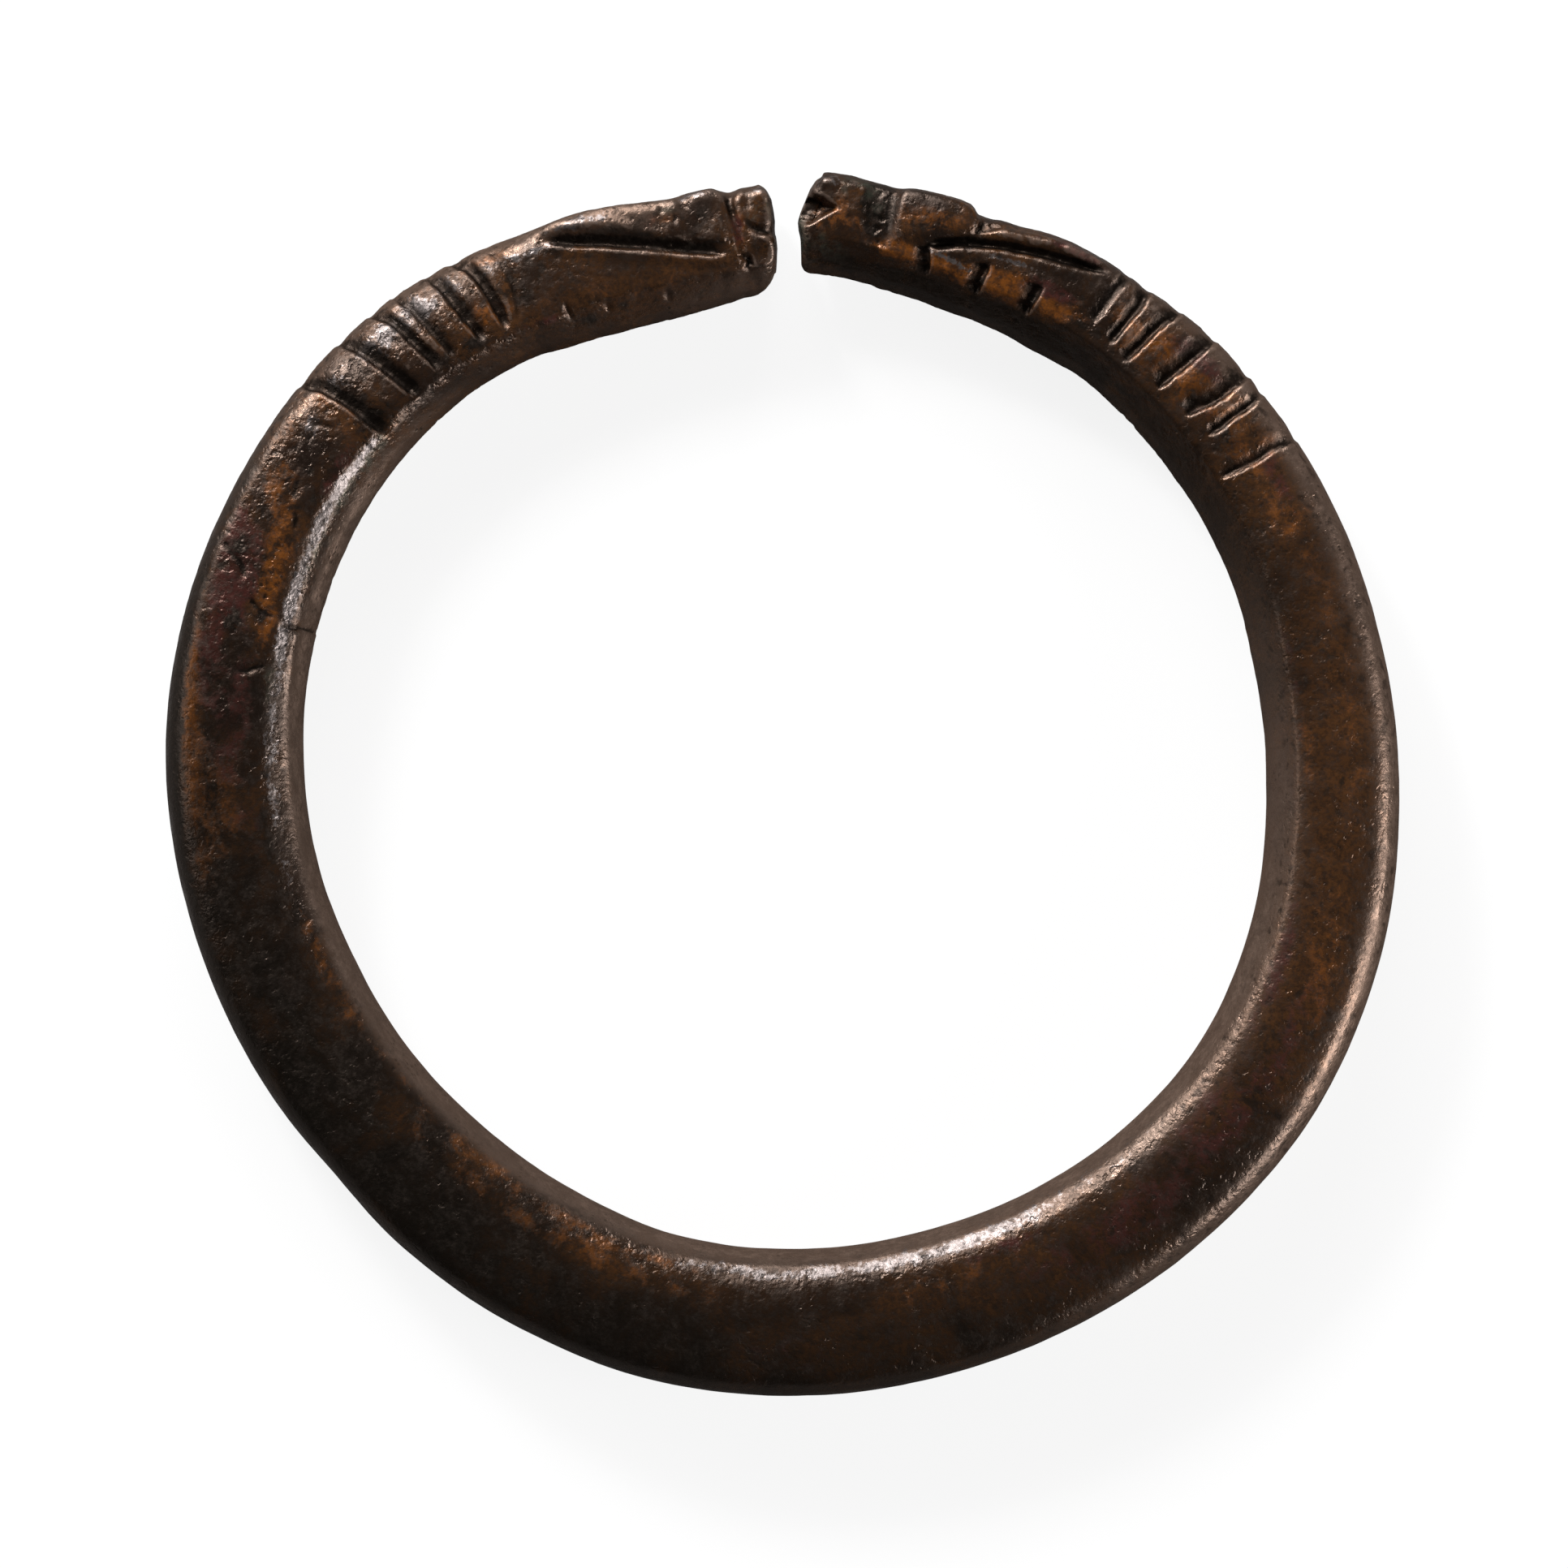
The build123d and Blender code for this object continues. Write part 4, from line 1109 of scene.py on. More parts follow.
def stains(*rows: Tuple[float, ...]) -> List[Stain]:
    """Names the columns of a list of patches: degrees, across, reach, breadth and strength."""
    return [Stain(*row) for row in rows]


# Tarnish stains, with painted shade and painted light among them, as the comment on each list says
STAINS_AND_PAINTED_LIGHT: Dict[Tint, List[Stain]] = {
    Tint.ORANGE: stains(
        (103, 0.3, 5, 1.3, 0.35), (112, 0.36, 4, 1.4, 0.35), (122.5, 0.45, 3, 1.6, 0.6),
        (94.4, 0.6, 0.35, 2.4, 1), (101.8, 0.84, 1.2, 0.8, 0.9), (91.6, 0.8, 1, 1, 0.6),
        (408, 0.62, 6, 2, 0.45), (398, 0.8, 5, 1, 0.5), (435, 0.72, 2.8, 1.4, 0.75),
        (445.6, 0.55, 1.5, 2.2, 0.65), (119, 0.9, 5, 0.6, 0.5), (140.5, 0.5, 2, 2.6, 0.3),
        (134, 0.94, 6, 0.5, 0.3), (136.5, 0.35, 2, 1, 0.6), (139.5, 0.8, 3, 1.4, 0.25),
        (146, 0.8, 3, 1.2, 0.25), (149.5, 0.66, 2.6, 1.5, 0.5), (154, 0.48, 2.6, 1.3, 0.6),
        (158.5, 0.44, 2.4, 0.8, 0.9), (163, 0.36, 2.4, 0.6, 0.8), (168.8, 0.85, 4, 0.7, 0.8),
        (177, 0.8, 5, 1.1, 0.7), (182, 0.6, 4, 1.8, 0.7), (190, 0.8, 5, 0.8, 0.5), (222, 0.34, 9, 0.8, 0.5),
        (243, 0.32, 9, 0.9, 0.6), (262, 0.34, 7, 0.8, 0.4), (432, 0.38, 4.5, 1.2, 0.9),
        (437.5, 0.38, 2, 0.6, 0.9), (425, 0.42, 3, 1.2, 1.1), (419.5, 0.42, 1.8, 1.2, 0.7),
        (441.5, 0.55, 1.6, 1.2, 0.6), (412, 0.55, 3, 2, 0.6), (402, 0.55, 4, 1.8, 0.5),
        (390, 0.55, 4.5, 1.3, 0.25), (384, 0.66, 3, 1.4, 0.35), (366, 0.3, 5, 0.6, 0.5),
        (352, 0.66, 9, 1.8, 0.2), (372, 0.66, 8, 1.8, 0.25), (200, 0.2, 7, 0.6, 0.6),
        (232, 0.17, 16, 0.6, 0.6), (254, 0.19, 5, 0.5, 0.4), (344, 0.52, 6, 1.8, 0.4),
        (286, 0.36, 7, 1.2, 0.4), (330, 0.66, 8, 1.4, 0.3),
    ),
    Tint.RED: stains(
        (406.5, 0.78, 1.6, 1, 0.9), (400.5, 0.5, 1.8, 1, 0.7), (392, 0.7, 3, 0.8, 0.6),
        (155, 0.82, 3, 1.2, 0.9), (159, 0.62, 3, 1.3, 0.9), (166, 0.74, 3.5, 1.3, 0.9),
        (170.5, 0.44, 3.5, 1.2, 0.8), (145.5, 0.34, 2, 0.8, 0.9), (175, 0.6, 4, 1.4, 0.6),
        (184, 0.4, 4, 1.4, 0.4), (94.6, 0.6, 0.5, 2.4, 0.9), (270, 0.7, 9, 1.6, 0.3),
        (421.2, 0.52, 1.8, 0.9, 1.4), (421, 0.93, 1.8, 0.45, 1.4), (404, 0.8, 2, 0.8, 0.7),
        (310, 0.55, 8, 1.8, 0.75), (330, 0.55, 8, 1.6, 0.6), (296, 0.26, 3, 0.5, 0.8),
        (322, 0.3, 5, 0.8, 0.6), (102.6, 0.84, 1.4, 0.8, 0.7), (341, 0.27, 5, 0.6, 0.8),
        (372, 0.28, 5, 0.5, 0.6), (117, 0.25, 2, 0.5, 0.7),
    ),
    # black tarnish; the broad patches at 225 and 240 degrees are also painted shade over the lower left
    Tint.BLACK: stains(
        (110.5, 0.79, 3, 0.45, 1), (105, 0.71, 2.6, 0.35, 0.9), (98.5, 0.53, 2.6, 0.3, 0.9),
        (403.5, 0.55, 0.8, 2.2, 0.7), (130, 0.3, 6, 0.8, 0.8), (124.5, 0.6, 0.8, 2.2, 0.6),
        (434.9, 0.37, 0.35, 0.6, 1), (428.6, 0.37, 0.4, 0.7, 1), (422.8, 0.37, 0.4, 0.7, 1),
        (156.3, 0.73, 1, 0.9, 1), (163.9, 0.63, 1.2, 0.9, 1), (162, 0.42, 0.6, 0.5, 0.9),
        (160, 0.97, 20, 1, 0.9), (180, 0.97, 10, 1, 0.9), (225, 0.66, 9, 2.6, 0.6), (240, 0.75, 8, 2.2, 0.5),
        (91.5, 0.35, 1.4, 1.6, 0.6), (98.5, 0.8, 1, 1.1, 0.9), (447.9, 0.66, 0.5, 1.3, 1.4),
        (440.4, 0.74, 1.1, 2.8, 1.3), (448.4, 0.5, 0.25, 4, 0.8), (428, 0.14, 9, 0.9, 0.9),
        (438, 0.14, 6, 0.9, 0.9), (418, 0.14, 6, 0.9, 0.8), (441, 0.7, 0.9, 2.4, 0.9),
        (416, 0.55, 1.6, 1.6, 0.8), (409.5, 0.5, 1.2, 1.6, 0.6), (398.5, 0.5, 1.4, 1.8, 0.7),
        (118, 0.55, 1.2, 2.2, 0.8), (112.5, 0.16, 0.8, 0.6, 1), (108.5, 0.18, 0.8, 0.6, 0.9),
        (138, 0.4, 2, 1, 0.8), (186, 0.3, 5, 0.8, 0.6), (352, 0.8, 6, 0.7, 0.5), (337, 0.78, 5, 1, 0.5),
        (376, 0.32, 4, 0.8, 0.5),
    ),
    Tint.GREEN: stains(
        (101.5, 0.9, 1.2, 1, 0.9), (91.6, 0.8, 1.6, 1.6, 0.6), (445.5, 0.3, 1.8, 1.6, 0.7),
        (440.8, 0.7, 1.2, 2, 0.3), (143, 0.22, 4, 0.7, 0.7), (155, 0.18, 5, 0.7, 0.5),
        (443.5, 0.9, 1.6, 1, 0.5), (448.3, 0.4, 0.4, 3, 1.1), (104, 0.66, 6, 0.5, 0.4),
        (169, 0.28, 2, 0.8, 0.6),
    ),
    # bare metal on the left chamfer, and painted highlights on the heads' crests, the left neck's ribs and the
    # bottom chamfer
    Tint.SILVER: stains(
        (115.5, 0.82, 2, 0.45, 0.8), (109.5, 0.92, 2.4, 0.45, 0.9), (98.7, 0.96, 1, 0.4, 0.9),
        (92.3, 0.95, 0.8, 0.35, 0.8), (436, 0.82, 1.2, 0.45, 0.6), (445.6, 0.9, 0.9, 0.6, 0.8),
        (127.5, 0.78, 1.3, 1.2, 1.1), (131.3, 0.78, 1.1, 1.2, 1.1), (134.6, 0.78, 1, 1, 0.8),
        (123.7, 0.82, 1, 0.9, 0.8), (119.8, 0.82, 1, 0.9, 0.7), (138.4, 0.8, 1, 1, 0.7),
        (142.6, 0.72, 0.6, 1, 0.6), (432.5, 0.44, 2.4, 0.3, 0.8), (426.5, 0.63, 3, 0.3, 0.7),
        (141, 0.25, 2, 0.5, 0.7), (147, 0.25, 3, 0.5, 0.9), (153, 0.24, 3, 0.5, 0.9),
        (159, 0.23, 2.4, 0.5, 0.9), (164, 0.22, 2, 0.5, 0.8), (171, 0.22, 3, 0.55, 0.8),
        (178, 0.23, 3, 0.55, 0.55), (186, 0.22, 4, 0.5, 0.6), (262, 0.16, 5, 0.5, 0.5),
        (274, 0.16, 7, 0.5, 0.5), (288, 0.15, 8, 0.55, 0.8), (302, 0.13, 8, 0.6, 0.5),
        (316, 0.14, 7, 0.6, 0.15),
    ),
    # painted shade: the lower left, the outer side at the left and bottom, the right inner wall and neck, the
    # inner side near 25 degrees, and a dimmed gleam near 318 degrees
    Tint.SHADE: stains(
        (236, 0.85, 33, 8, 0.96), (192, 0.8, 18, 8, 0.45), (288, 0.8, 16, 3.4, 0.45),
        (425, 0.05, 22, 1.8, 0.8), (410, 0.6, 8, 3, 0.35), (318, 0.7, 8, 2.4, 0.35),
        (385, 0.2, 10, 2.6, 0.6), (318, 0.15, 6, 0.8, 0.8),
    ),
    # rubbed inner walls, and painted light on the lit outer rims (across 0.96 to 1) and on lit walls near 95
    # and 350 degrees
    Tint.POLISH: stains(
        (148, 0.06, 8, 0.65, 0.8), (166, 0.05, 9, 0.65, 0.9), (186, 0.05, 9, 0.7, 0.7),
        (268, 0.02, 14, 0.75, 0.9), (300, 0.02, 14, 0.75, 0.9), (328, 0.02, 12, 0.75, 0.7),
        (360, 0.97, 18, 1.2, 0.8), (335, 0.97, 12, 1.1, 0.7), (312, 0.96, 8, 0.9, 0.5),
        (382, 0.97, 12, 1.2, 1), (396, 0.97, 8, 1.1, 0.8), (203, 0.03, 9, 0.75, 1),
        (218, 0.03, 9, 0.75, 0.8), (105.5, 0.88, 3, 0.9, 0.5), (95, 0.12, 6, 1.2, 0.3),
        (112, 1, 10, 0.9, 0.7), (130, 1, 12, 0.9, 0.6), (236, 0.03, 12, 0.75, 1), (324, 0.18, 9, 1.2, 0.4),
        (350, 0.1, 14, 1.3, 0.8),
    ),
    Tint.CLEAN: stains(
        (94.6, 0.62, 0.9, 2.6, 0.8), (126, 0.5, 7, 9, 0.1), (108, 0.3, 8, 2.4, 0.6),
        (350, 0.52, 20, 3.6, 0.75), (384, 0.62, 8, 2.4, 0.25), (440, 0.2, 4, 2, 0.3),
        (262, 0.32, 12, 2, 0.4), (402, 0.5, 10, 9, 0.25),
    ),
    Tint.ROUGH: stains(
        (440.6, 0.76, 1, 2.4, 1), (116, 0.8, 3, 1, 0.9), (132, 0.7, 9, 2, 1), (417, 0.35, 1.5, 1.5, 0.8),
        (427, 0.58, 6, 0.6, 0.8), (160, 0.22, 24, 0.6, 0.8), (288, 0.17, 32, 0.6, 0.9),
        (152, 0.5, 6, 2, 0.4), (322, 0.6, 8, 2.4, 0.4),
    ),
}


@dataclass
class Casting:
    """The whole casting as one closed grid: rings along the bar, with a point closing each muzzle.

    Attributes:
        bangle: the driving sizes.
        stations: the cross sections.
        contour: the outline maker.
        muzzles: the two rounded fronts.
        carvings: the relief of the two sides.
        marks: cracks, pits and scratches on the hoop, in (degrees, across) pairs.
        side_share: how much of a muzzle's rounding also draws in its sides.
        front_swell: how far the flat front swells, in metres.
        line_spacing: spacing of the points along a carved line, in metres.
        end_width: a line's width at its ends, as a share of its full width.
    """

    bangle: Bangle
    stations: Stations
    contour: Contour
    muzzles: Tuple[MuzzleEnd, MuzzleEnd] = (LEFT_MUZZLE, RIGHT_MUZZLE)
    carvings: Tuple[Carving, Carving] = (LEFT_CARVING, RIGHT_CARVING)
    marks: Tuple[Stroke, ...] = HOOP_MARKS
    side_share: float = 0.25
    front_swell: float = 0.10 * MM
    line_spacing: float = 0.05 * MM
    end_width: float = 0.55
    grid_shape: Tuple[int, int] = field(init=False)

    def _flat_rings(self) -> Array:
        """Gives every station's ring as radius and height above the bar's middle."""
        columns = self.stations.columns
        rows = [dict(zip(columns, values)) for values in zip(*columns.values())]
        return np.stack([self.contour.ring(row) for row in rows])

    def _spin(self, radius: Array, height: Array, turn: Array) -> Array:
        """Stands radius and height up at their angles."""
        lifted = np.maximum(height + self.bangle.middle_height, 0.0)
        return np.stack([radius * np.cos(turn), radius * np.sin(turn), lifted], axis=-1)

    def _fronts(self, rings: Array) -> Tuple[Array, Array, Array]:
        """Rounds both muzzles and closes their fronts with shrinking rings.

        Args:
            rings: the stations' rings as radius and height.

        Returns:
            Radius, height and angle of every ring, the closing ones included.
        """
        inner, width = self.stations.inner, self.stations.width
        middle = inner + width / 2
        radius, height = rings[..., 0], rings[..., 1]
        turn = np.repeat(self.stations.turn[:, None], rings.shape[1], axis=1)
        half = len(turn) // 2
        for muzzle, near in zip(self.muzzles, (slice(0, half), slice(half, None))):
            behind = self.stations.to_muzzle[near][:, None]
            inset = muzzle.inset(behind)
            tall = np.abs(height[near]).max(axis=1, keepdims=True)
            centre = middle[near][:, None]
            across = (radius[near] - inner[near][:, None]) / width[near][:, None]
            push = muzzle.forward(across, behind) / radius[near]
            wide = width[near][:, None] / 2
            radius[near] = centre + (radius[near] - centre) * (1 - self.side_share * inset / wide)
            height[near] *= 1 - inset / tall
            turn[near] -= muzzle.side.value * push
        blocks = [(radius, height, turn)]
        for muzzle, end in zip(self.muzzles, (0, -1)):
            rings_in = []
            for share in muzzle.closing:
                shrunk = middle[end] + (radius[end] - middle[end]) * share
                across = (shrunk - inner[end]) / width[end]
                swell = self.front_swell * (1 - share ** 2)
                push = (muzzle.forward(across, np.float64(0.0)) + swell) / shrunk
                start = self.stations.turn[end]
                rings_in.append((shrunk, height[end] * share, start - muzzle.side.value * push))
            ring_block = tuple(np.stack([ring[k] for ring in rings_in]) for k in range(3))
            if end == 0:
                blocks.insert(0, tuple(part[::-1] for part in ring_block))
            else:
                blocks.append(ring_block)
        return tuple(np.concatenate([block[k] for block in blocks]) for k in range(3))

    def places(self) -> Array:
        """Works out every point of the plain casting.

        Returns:
            The grid's points ring by ring, and then the two points that close the fronts.
        """
        radius, height, turn = self._fronts(self._flat_rings())
        self.grid_shape = radius.shape
        grid = self._spin(radius, height, turn).reshape(-1, 3)
        poles = [grid[:self.grid_shape[1]].mean(axis=0), grid[-self.grid_shape[1]:].mean(axis=0)]
        return np.concatenate([grid, np.array(poles)])

    def faces(self) -> Tuple[Array, Array]:
        """Lists the casting's faces.

        Returns:
            The grid's quads, and the triangles round the two closing points.
        """
        rows, columns = self.grid_shape
        number = np.arange(rows * columns).reshape(rows, columns)
        after = np.roll(number, -1, axis=1)
        quads = np.stack([number[:-1], number[1:], after[1:], after[:-1]], axis=-1).reshape(-1, 4)
        first, last = rows * columns, rows * columns + 1
        fan_start = np.stack([np.full(columns, first), number[0], after[0]], axis=1)
        fan_stop = np.stack([np.full(columns, last), after[-1], number[-1]], axis=1)
        return quads, np.concatenate([fan_start, fan_stop])

    def make_mesh(self, name: str, places: Array) -> Mesh:
        """Makes the mesh from its points, with its faces pointing outwards."""
        quads, fans = self.faces()
        mesh = bpy.data.meshes.new(name)
        corners = np.concatenate([quads.ravel(), fans.ravel()])
        starts = np.concatenate([np.arange(len(quads)) * 4, len(quads) * 4 + np.arange(len(fans)) * 3])
        mesh.vertices.add(len(places))
        mesh.vertices.foreach_set("co", places.ravel())
        mesh.loops.add(len(corners))
        mesh.loops.foreach_set("vertex_index", corners)
        mesh.polygons.add(len(starts))
        mesh.polygons.foreach_set("loop_start", starts)
        mesh.update(calc_edges=True)
        mesh.validate()
        if self.volume(mesh) < 0:
            mesh.flip_normals()
        mesh.shade_smooth()
        return mesh

    @staticmethod
    def volume(mesh: Mesh) -> float:
        """Gives the signed volume that a closed mesh holds."""
        mesh.calc_loop_triangles()
        corners = np.empty(len(mesh.loop_triangles) * 3, int)
        mesh.loop_triangles.foreach_get("vertices", corners)
        spots = read_places(mesh)[corners.reshape(-1, 3)]
        return float(np.einsum("ij,ij->i", spots[:, 0], np.cross(spots[:, 1], spots[:, 2])).sum() / 6)

    def lines(self, mark: Mark) -> bpy.types.Object:
        """Makes one layer's lines as loose points that carry their own half width and depth.

        Args:
            mark: the layer.

        Returns:
            An object of loose points, which goes once the carving is done.
        """
        drawn = [line for carving in self.carvings for line in carving.strokes(self.stations, mark)]
        if mark is Mark.NICK:
            for stroke in self.marks:
                degrees, across = np.array(stroke.points).T
                drawn.append((self.stations.flat_places(np.radians(degrees), across), stroke, Side.LEFT))
        spots, widths, depths, leans = [], [], [], []
        for corners, stroke, side in drawn:
            reach = np.concatenate([[0.0], np.cumsum(np.hypot(*np.diff(corners, axis=0).T))])
            even = np.linspace(0.0, reach[-1], max(3, int(reach[-1] / self.line_spacing)))
            share = even / reach[-1]
            taper = soft_step(0.0, stroke.fade, share) * soft_step(0.0, stroke.fade, 1 - share)
            line = [smooth_curve(reach, corners[:, k], even) for k in (0, 1)] + [np.zeros_like(even)]
            spots.append(np.stack(line, axis=1))
            widths.append(stroke.half_width * MM * (self.end_width + (1 - self.end_width) * taper))
            depths.append(stroke.depth * MM * taper)
            heading = np.gradient(spots[-1], axis=0)
            heading /= np.linalg.norm(heading, axis=1, keepdims=True)
            leftward = heading[:, [1, 0, 2]] * (-1.0, 1.0, 0.0)
            leans.append(leftward * stroke.lean * side.value)
        mesh = bpy.data.meshes.new(f"{mark.value}_lines")
        mesh.from_pydata(np.concatenate(spots).tolist(), [], [])
        for label, values in (("half_width", widths), ("depth", depths)):
            store(mesh, label, np.concatenate(values))
        wide = mesh.attributes.new("wide_side", "FLOAT_VECTOR", "POINT")
        wide.data.foreach_set("vector", np.concatenate(leans).ravel())
        return set_out(mesh.name, mesh)


def set_out(name: str, data: bpy.types.ID) -> bpy.types.Object:
    """Makes an object of some data and puts it in the scene."""
    thing = bpy.data.objects.new(name, data)
    bpy.context.scene.collection.objects.link(thing)
    return thing


def read_places(mesh: Mesh) -> Array:
    """Reads a mesh's points."""
    flat = np.empty(len(mesh.vertices) * 3)
    mesh.vertices.foreach_get("co", flat)
    return flat.reshape(-1, 3)


def read_normals(mesh: Mesh) -> Array:
    """Reads a mesh's normals at its points."""
    flat = np.empty(len(mesh.vertices) * 3, np.float32)
    mesh.vertex_normals.foreach_get("vector", flat)
    return flat.reshape(-1, 3).astype(float)


def store(mesh: Mesh, label: str, values: Array) -> None:
    """Keeps one number for each of a mesh's points under a name."""
    attribute = mesh.attributes.get(label) or mesh.attributes.new(label, "FLOAT", "POINT")
    attribute.data.foreach_set("value", values.astype(np.float32))


@dataclass
class SurfaceRecord:
    """What the carved shape says about dirt and wear, kept as attributes for the bronze, and the stains, which
    include painted shade and painted light.

    Attributes:
        casting: the casting that was carved.
        fine_spread: smoothing for small hollows and edges, in rings and in ring corners.
        broad_spread: the same for broad ones.
        fine_scale: the depth that counts as a full small hollow or edge, in metres.
        broad_scale: the same for broad ones.
        wear: how much fine and broad edges count as wear.
        wear_start: what is taken off both before anything counts.
        hollowing: how much fine and broad hollows count as dirty.
        hide: strength of the pocked hide on the hoop, on the heads, and the share that the inner wall's rubbing
            takes from it.
        polish_span: shares across the bar where that rubbing is nought and where it is full.
        head_spans: degrees round the hoop where a head's hide starts and where it is full.
    """

    casting: Casting
    fine_spread: Pair = (1.8, 1.3)
    broad_spread: Pair = (7.0, 5.0)
    fine_scale: float = 0.060 * MM
    broad_scale: float = 0.32 * MM
    wear: Pair = (0.8, 0.2)
    wear_start: float = 0.1
    hollowing: Pair = (0.4, 0.8)
    hide: Tuple[float, float, float] = (0.8, 0.7, 0.8)
    polish_span: Pair = (0.16, 0.08)
    head_spans: Pairs = ((122.0, 118.0), (414.0, 418.0))

    @staticmethod
    def _blur(values: Array, spread: Pair) -> Array:
        """Smooths a grid that is open along the bar and closed round it."""
        for axis, amount in enumerate(spread):
            half = int(math.ceil(3 * amount))
            kernel = np.exp(-0.5 * (np.arange(-half, half + 1) / amount) ** 2)
            kernel /= kernel.sum()
            edges = [(0, 0)] * values.ndim
            edges[axis] = (half, half)
            padded = np.pad(values, edges, mode="wrap" if axis else "edge")
            values = np.apply_along_axis(np.convolve, axis, padded, kernel, mode="valid")
        return values

    def standing(self, places: Array, normals: Array, spread: Pair) -> Array:
        """Says how far each point stands above the smoothed shape, in metres."""
        rows, columns = self.casting.grid_shape
        count = rows * columns
        radius = np.hypot(places[:count, 0], places[:count, 1])
        outward = (places[:count, :2] * normals[:count, :2]).sum(axis=1) / radius
        flat = np.stack([radius, places[:count, 2]], axis=1).reshape(rows, columns, 2)
        lift = (flat - self._blur(flat, spread)).reshape(-1, 2)
        stands = lift[:, 0] * outward + lift[:, 1] * normals[:count, 2]
        return np.concatenate([stands, [stands[0], stands[-1]]])

    def keep(self, mesh: Mesh) -> None:
        """Stores the wear, hollows and stains on the carved mesh; some stains are painted shade and painted
        light.
        """
        places, normals = read_places(mesh), read_normals(mesh)
        fine = self.standing(places, normals, self.fine_spread) / self.fine_scale
        broad = self.standing(places, normals, self.broad_spread) / self.broad_scale
        worn = self.wear[0] * fine + self.wear[1] * broad - self.wear_start
        hollow = -self.hollowing[0] * fine - self.hollowing[1] * broad
        store(mesh, "worn", np.clip(worn, 0.0, 1.0))
        store(mesh, "hollow", np.clip(hollow, 0.0, 1.0))
        turn = np.degrees(np.arctan2(places[:, 1], places[:, 0])) % 360
        turn = np.where(turn < math.degrees(self.casting.bangle.gap_middle), turn + 360, turn)
        inner, width = self.casting.stations.edge_radii(np.radians(turn))
        across = (np.hypot(places[:, 0], places[:, 1]) - inner) / width
        arc = math.radians(1.0) * self.casting.bangle.middle_radius / MM
        reach = self.casting.bangle.bar_width / MM
        polished = soft_step(*self.polish_span, across)
        on_head = np.maximum(*[soft_step(*span, turn) for span in self.head_spans])
        on_hoop, at_head, polishing = self.hide
        store(mesh, "hide", (on_hoop + (at_head - on_hoop) * on_head) * (1.0 - polishing * polished))
        for tint, patches in STAINS_AND_PAINTED_LIGHT.items():
            total = np.zeros(len(places))
            for stain in patches:
                round_ = (turn - stain.degrees) * arc / stain.reach
                out = (across - stain.across) * reach / stain.breadth
                total += stain.strength * np.exp(-(round_ ** 2 + out ** 2))
            store(mesh, tint.value, np.clip(total, 0.0, 1.0))


class EffectGroup:
    """A shader node group with named inputs and outputs."""

    def __init__(self, name: str, inputs: Dict[str, float], outputs: Sequence[str]) -> None:
        """Makes the group's interface and its board."""
        self.tree = bpy.data.node_groups.new(name, "ShaderNodeTree")
        for label, default in inputs.items():
            socket = self.tree.interface.new_socket(label, in_out="INPUT", socket_type="NodeSocketFloat")
            socket.default_value = default
        for label in outputs:
            self.tree.interface.new_socket(label, in_out="OUTPUT", socket_type="NodeSocketFloat")
        self.board = NodeBoard(self.tree)
        self.given = self.board.add("NodeGroupInput").outputs
        self.place = self.board.add("ShaderNodeTexCoord").outputs["Object"]

    def close(self, **results: Socket) -> None:
        """Feeds the group's outputs, whose names have spaces for underscores."""
        named = {label.replace("_", " "): socket for label, socket in results.items()}
        self.board.add("NodeGroupOutput", named)

    def use(self, board: NodeBoard, **values: object) -> bpy.types.Node:
        """Places the group in a material with its own values."""
        node = board.add("ShaderNodeGroup", node_tree=self.tree)
        for label, value in values.items():
            board.feed(node.inputs[label.replace("_", " ")], value)
        return node


def patina_clouds() -> EffectGroup:
    """Builds the broad and the small clouding of old tarnish, and its specks."""
    group = EffectGroup("patina_clouds", {
        "Broad Scale": 150.0, "Small Scale": 620.0, "Speck Scale": 3000.0, "Low": 0.38, "Speck Low": 0.40,
        "High": 0.62, "Seed": 1.0}, ["Broad", "Small", "Specks"])
    board, given, place = group.board, group.given, group.place
    broad = board.noise(place, given["Broad Scale"], 6.0, 0.68, 0.8, seed=given["Seed"])
    small = board.noise(place, given["Small Scale"], 5.0, 0.72, 0.4, seed=given["Seed"])
    specks = board.noise(place, given["Speck Scale"], 4.0, 0.65, 0.2, seed=given["Seed"])
    group.close(Broad=board.ramp(broad, given["Low"], given["High"]),
                Small=board.ramp(small, given["Low"], given["High"]),
                Specks=board.ramp(specks, given["Speck Low"], given["High"]))
    return group


def rubbed_high_places() -> EffectGroup:
    """Builds the mask of metal that handling has rubbed bright."""
    group = EffectGroup("rubbed_high_places", {
        "Worn": 0.0, "Amount": 0.35, "Break Up": 1.8, "Break Scale": 1400.0, "Low": 0.55, "High": 1.0,
        "Seed": 1.0}, ["Rubbed"])
    board, given = group.board, group.given
    grain = board.ripple(group.place, given["Break Scale"], 4.0, 0.6, given["Seed"])
    broken = board.maths("ADD", given["Worn"], board.times(grain, given["Break Up"]))
    edge = board.ramp(broken, given["Low"], given["High"])
    group.close(Rubbed=board.maths("MULTIPLY", edge, given["Amount"], clamp=True))
    return group


def settled_dirt() -> EffectGroup:
    """Builds the mask of dirt that has settled in hollows."""
    group = EffectGroup("settled_dirt", {
        "Hollow": 0.0, "Amount": 1.0, "Lumps": 0.7, "Lump Scale": 1100.0, "Low": 0.15, "High": 1.0,
        "Seed": 1.0}, ["Dirt"])
    board, given = group.board, group.given
    grain = board.ripple(group.place, given["Lump Scale"], 4.0, 0.6, given["Seed"])
    lumpy = board.ramp(board.maths("MULTIPLY_ADD", grain, given["Lumps"], given["Hollow"]), given["Low"],
                       given["High"])
    group.close(Dirt=board.maths("MULTIPLY", lumpy, given["Amount"], clamp=True))
    return group


